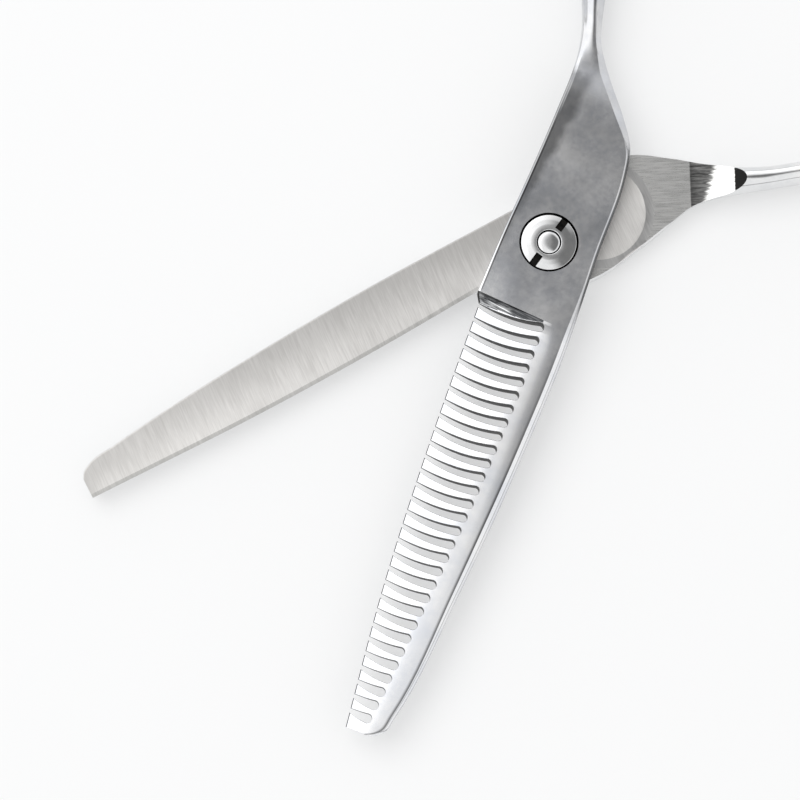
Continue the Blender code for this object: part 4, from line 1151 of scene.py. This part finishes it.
# %% Painted reflection bands of the scoop
scooped = belt_steel("scooped_steel", plain_turn + WHEEL_TURN + math.radians(90), (0.56, 0.56, 0.55),
                     (0.66, 0.655, 0.645), (0.24, 0.34), (0.4, 9.0, 1.0))
finish = Finish(scooped)
x, y = axes(finish, millimetres(finish, plain_turn + WHEEL_TURN))[:2]
streaks = pattern(finish, millimetres(finish, plain_turn + WHEEL_TURN, (6.0, 0.4, 1.0)), 0.8, 3.0, 0.7)
ragged = (streaks - 0.5) * 2.4
# painted reflections: a dark band where the wheel bites in, a ragged bright band, and a dark end where it
# leaves
painted_shade_start = between(finish, y, WHEEL_START, WHEEL_START + 0.15)
painted_highlight_band = between(finish, y + ragged + (x + 7.9) * 0.34, 21.0, 21.8)
painted_shade_end = between(finish, y + ragged * 0.1, 24.3, 24.45)
bands = 1.0 - painted_shade_start * (1.0 - painted_highlight_band) * (0.3 + streaks)
bands = bands * (1.0 - painted_shade_end * 0.97) + painted_highlight_band * (1.0 - painted_shade_end) * 0.6
painted(finish, bands)
print("marks on", scooped.name, "nodes:", len(finish.tree.nodes))

# %% [markdown]
# ## Tone of the ground blade
# A belt leaves an even grey. Here the tone is also a little darker towards the back and lighter towards the
# tip, with one thin light line where the flat ends. Two gradients and a step on the kept distance are enough.

# %% Tone of the ground blade
finish = Finish(ground)
y = axes(finish, millimetres(finish, plain_turn))[1]
from_back = kept_distance(finish, "from_back")
across = between(finish, from_back, 0.0, 7.0, 0.74, 1.0)
across = across * (1.0 + between(finish, from_back, 0.26, 0.14) * 0.3)
painted(finish, across * between(finish, y, -66.0, -15.0, 1.18, 0.99))
print("marks on", ground.name, "nodes:", len(finish.tree.nodes))

# %% [markdown]
# ## Nylon and rubber
# The washers and the bush are moulded nylon, off-white and faintly waxy. The bumper is black rubber, and
# its skin is matt with a little sheen. One finish with two settings serves both, because both come
# out of a mould.

# %% Moulded finishes
def moulded(name, low, high, rough, grain=2.0, sheen=0.0):
    """A moulded skin with a fine grain."""
    finish = Finish(bpy.data.materials.new(name))
    where = millimetres(finish)
    skin = pattern(finish, where, grain, 3.0, 0.6)
    finish.put("Base Color", tinted(finish, low, high, between(finish, skin, 0.3, 0.7)))
    finish.put("Roughness", between(finish, skin, 0.3, 0.7, rough - 0.06, rough + 0.06))
    finish.put("Sheen Weight", sheen)
    finish.put("Normal", bumped(finish, skin, 0.15, 0.00004))
    return finish.owner


nylon = moulded("nylon", (0.80, 0.80, 0.76), (0.88, 0.88, 0.85), 0.45)
rubber = moulded("rubber", (0.018, 0.018, 0.019), (0.035, 0.035, 0.036), 0.62, 3.0, 0.2)
print("moulded:", nylon.name, rubber.name)

# %% [markdown]
# ## Putting the pieces on their bodies
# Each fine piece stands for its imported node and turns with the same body, so the shears open and
# close as the mechanism says. The bush, the washers, the spring and the bumper's stud hardly show, so they
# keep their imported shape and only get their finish.

# %% Place the pieces
opened = Matrix.Rotation(OPENING, 4, "Z")
shown("toothed_half_steel", toothed_mesh, "finger_half", ["toothed_half"],
      [cloudy, painted_shade_wall, step_steel], neck=(13.0, 52.0, 18.0))
shown("plain_half_steel", plain_mesh, "thumb_half", ["plain_half"],
      [bright, scooped, ground, honed, relief], opened, neck=(27.5, 44.0, 60.0))
shown("nut_bright", nut_mesh, "tension_nut", ["adjusting_nut"], [bright, painted_shade_wall])
shown("stud_bright", stud_mesh, "thumb_half", ["pivot_stud"], [bright], opened)
shown("finger_rest_tang", rest_mesh, "finger_half", ["finger_rest"], [bright])
shown("bumper_rubber", bumper_mesh, "finger_half", ["bumper"], [rubber])
kept = {"pivot_bush": nylon, "slip_washer": nylon, "thrust_washer": bright, "wave_spring": bright,
        "finger_rest_washer": nylon, "bumper_stud": bright}
for name, made in kept.items():
    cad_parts[name].data.materials.clear()
    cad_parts[name].data.materials.append(made)

# %% [markdown]
# ## Table
# The table is a pale sheet that glows faintly by its own emission, painted light that keeps its shadows thin.
# A white card without the glow would give the same colour, but darker shadows under the blades.

# %% Table
TABLE_GLOW = 0.41
WHITE_GRAIN = 0.02
bm = bmesh.new()
bmesh.ops.create_grid(bm, x_segments=1, y_segments=1, size=1.5)
table = bpy.data.objects.new("table", to_mesh(bm, "table"))
bpy.context.scene.collection.objects.link(table)
top = Finish(bpy.data.materials.new("table_white"))
grain = pattern(top, millimetres(top), WHITE_GRAIN)
top.put("Base Color", tinted(top, (0.498, 0.5, 0.502), (0.508, 0.51, 0.512), grain))
top.put("Roughness", 0.9)
top.put("Specular IOR Level", 0.1)
# painted light: the table glows by its own emission, which lightens the shadows under the shears
top.put("Emission Color", (0.998, 1.0, 1.0, 1.0))
top.put("Emission Strength", TABLE_GLOW)
table.data.materials.clear()
table.data.materials.append(top.owner)
for made in blank_finishes:
    bpy.data.materials.remove(made)
print("finishes:", len(bpy.data.materials))

# %% [markdown]
# ## Light tent
# Polished steel shows its surroundings, so the light is a white tent with one soft grey opening over the
# shank. The flat faces reflect the opening and turn grey, and every face that leans away shows the
# white walls. The tent is a sum like any other finish, written on the direction of the light.

# %% Tent
TENT_WHITE, TENT_FILL, OPENING_DARK = 0.95, 0.78, 0.8
HORIZON, WALL_HEIGHT, HORIZON_LEVEL = 0.02, 0.16, 0.3
tent = Finish(bpy.data.worlds.new("tent"))
bpy.context.scene.world = tent.owner
dx, dy, dz = axes(tent, tent.node("ShaderNodeTexCoord", out="Generated"))
height = tent.node("ShaderNodeMath", {"operation": "MAXIMUM"}, dz, HORIZON)
east, north = dx / height, dy / height
opening = between(tent, east, -0.2, 0.06) * between(tent, east, 0.8, 0.4)
opening = opening * between(tent, north + east * 0.7, -0.06, 0.18) * between(tent, north, 0.8, 0.4)
level = 1.0 - opening * OPENING_DARK
level = level + between(tent, east, -0.12, -0.4) * 0.5
level = level * between(tent, dz, HORIZON, WALL_HEIGHT, HORIZON_LEVEL, 1.0)
seen = tent.node("ShaderNodeLightPath", out="Is Camera Ray")
scattered = tent.node("ShaderNodeLightPath", out="Is Diffuse Ray")
level = level * (1.0 - seen) + TENT_WHITE * seen
level = level * (1.0 - scattered) + TENT_FILL * scattered
tent.put("Color", tent.node("ShaderNodeCombineColor", {}, level, level, level), "Background")
tent.put("Strength", 1.0, "Background")
print("tent nodes:", len(tent.tree.nodes))

# %% [markdown]
# ## Lamp
# The tent alone lights every side alike. One large disc of light adds faint soft shadows, and it is hidden
# from reflections, so that no bright spot shows on the steel.

# %% Lamp
LAMP_WATTS, LAMP_WIDE = 8.0, 1.3
lamp = bpy.data.objects.new("softbox", bpy.data.lights.new("softbox", "AREA"))
bpy.context.scene.collection.objects.link(lamp)
lamp.data.shape = "DISK"
lamp.data.size = LAMP_WIDE
lamp.data.energy = LAMP_WATTS
LAMP_AT = Vector((-0.7, 0.1, 1.2))
lamp.matrix_world = Matrix.Translation(LAMP_AT) @ LAMP_AT.to_track_quat("Z", "Y").to_matrix().to_4x4()
lamp.visible_glossy = False
print("lamp", LAMP_WIDE, "m wide,", LAMP_WATTS, "W")

# %% [markdown]
# ## Camera
# The camera looks down steeply through a long lens, so the shears keep nearly their true proportions. Its
# place is given by three points, the eye, the aim and the up side, because a point is easier to
# check with a ruler than an angle is.

# %% Camera
camera = bpy.data.objects.new("camera", bpy.data.cameras.new("camera"))
bpy.context.scene.collection.objects.link(camera)
EYE = Vector((2.085, -103.969, 619.4)) * MM
AIM = Vector((-10.139, -25.571, 3.4)) * MM
UP = Vector((-0.37299, 0.92784, 0.0))
SENSOR, LENS = 36.0, 218.34
toward = (AIM - EYE).normalized()
right = toward.cross(UP).normalized()
above = right.cross(toward)
camera.matrix_world = Matrix.Translation(EYE) @ Matrix((right, above, -toward)).transposed().to_4x4()
camera.data.sensor_width = SENSOR
camera.data.lens = LENS
camera.data.clip_start = 0.01
camera.data.clip_end = 20.0
bpy.context.scene.camera = camera
bpy.context.scene.view_settings.view_transform = "Standard"
print("camera", round(camera.data.lens, 1), "mm")

# %% [markdown]
# ## Finish
# The finished look must not change the size of the shears. The view layer is brought up to date, so that
# every piece stands in its place.

# %% Finish
bpy.context.view_layer.update()
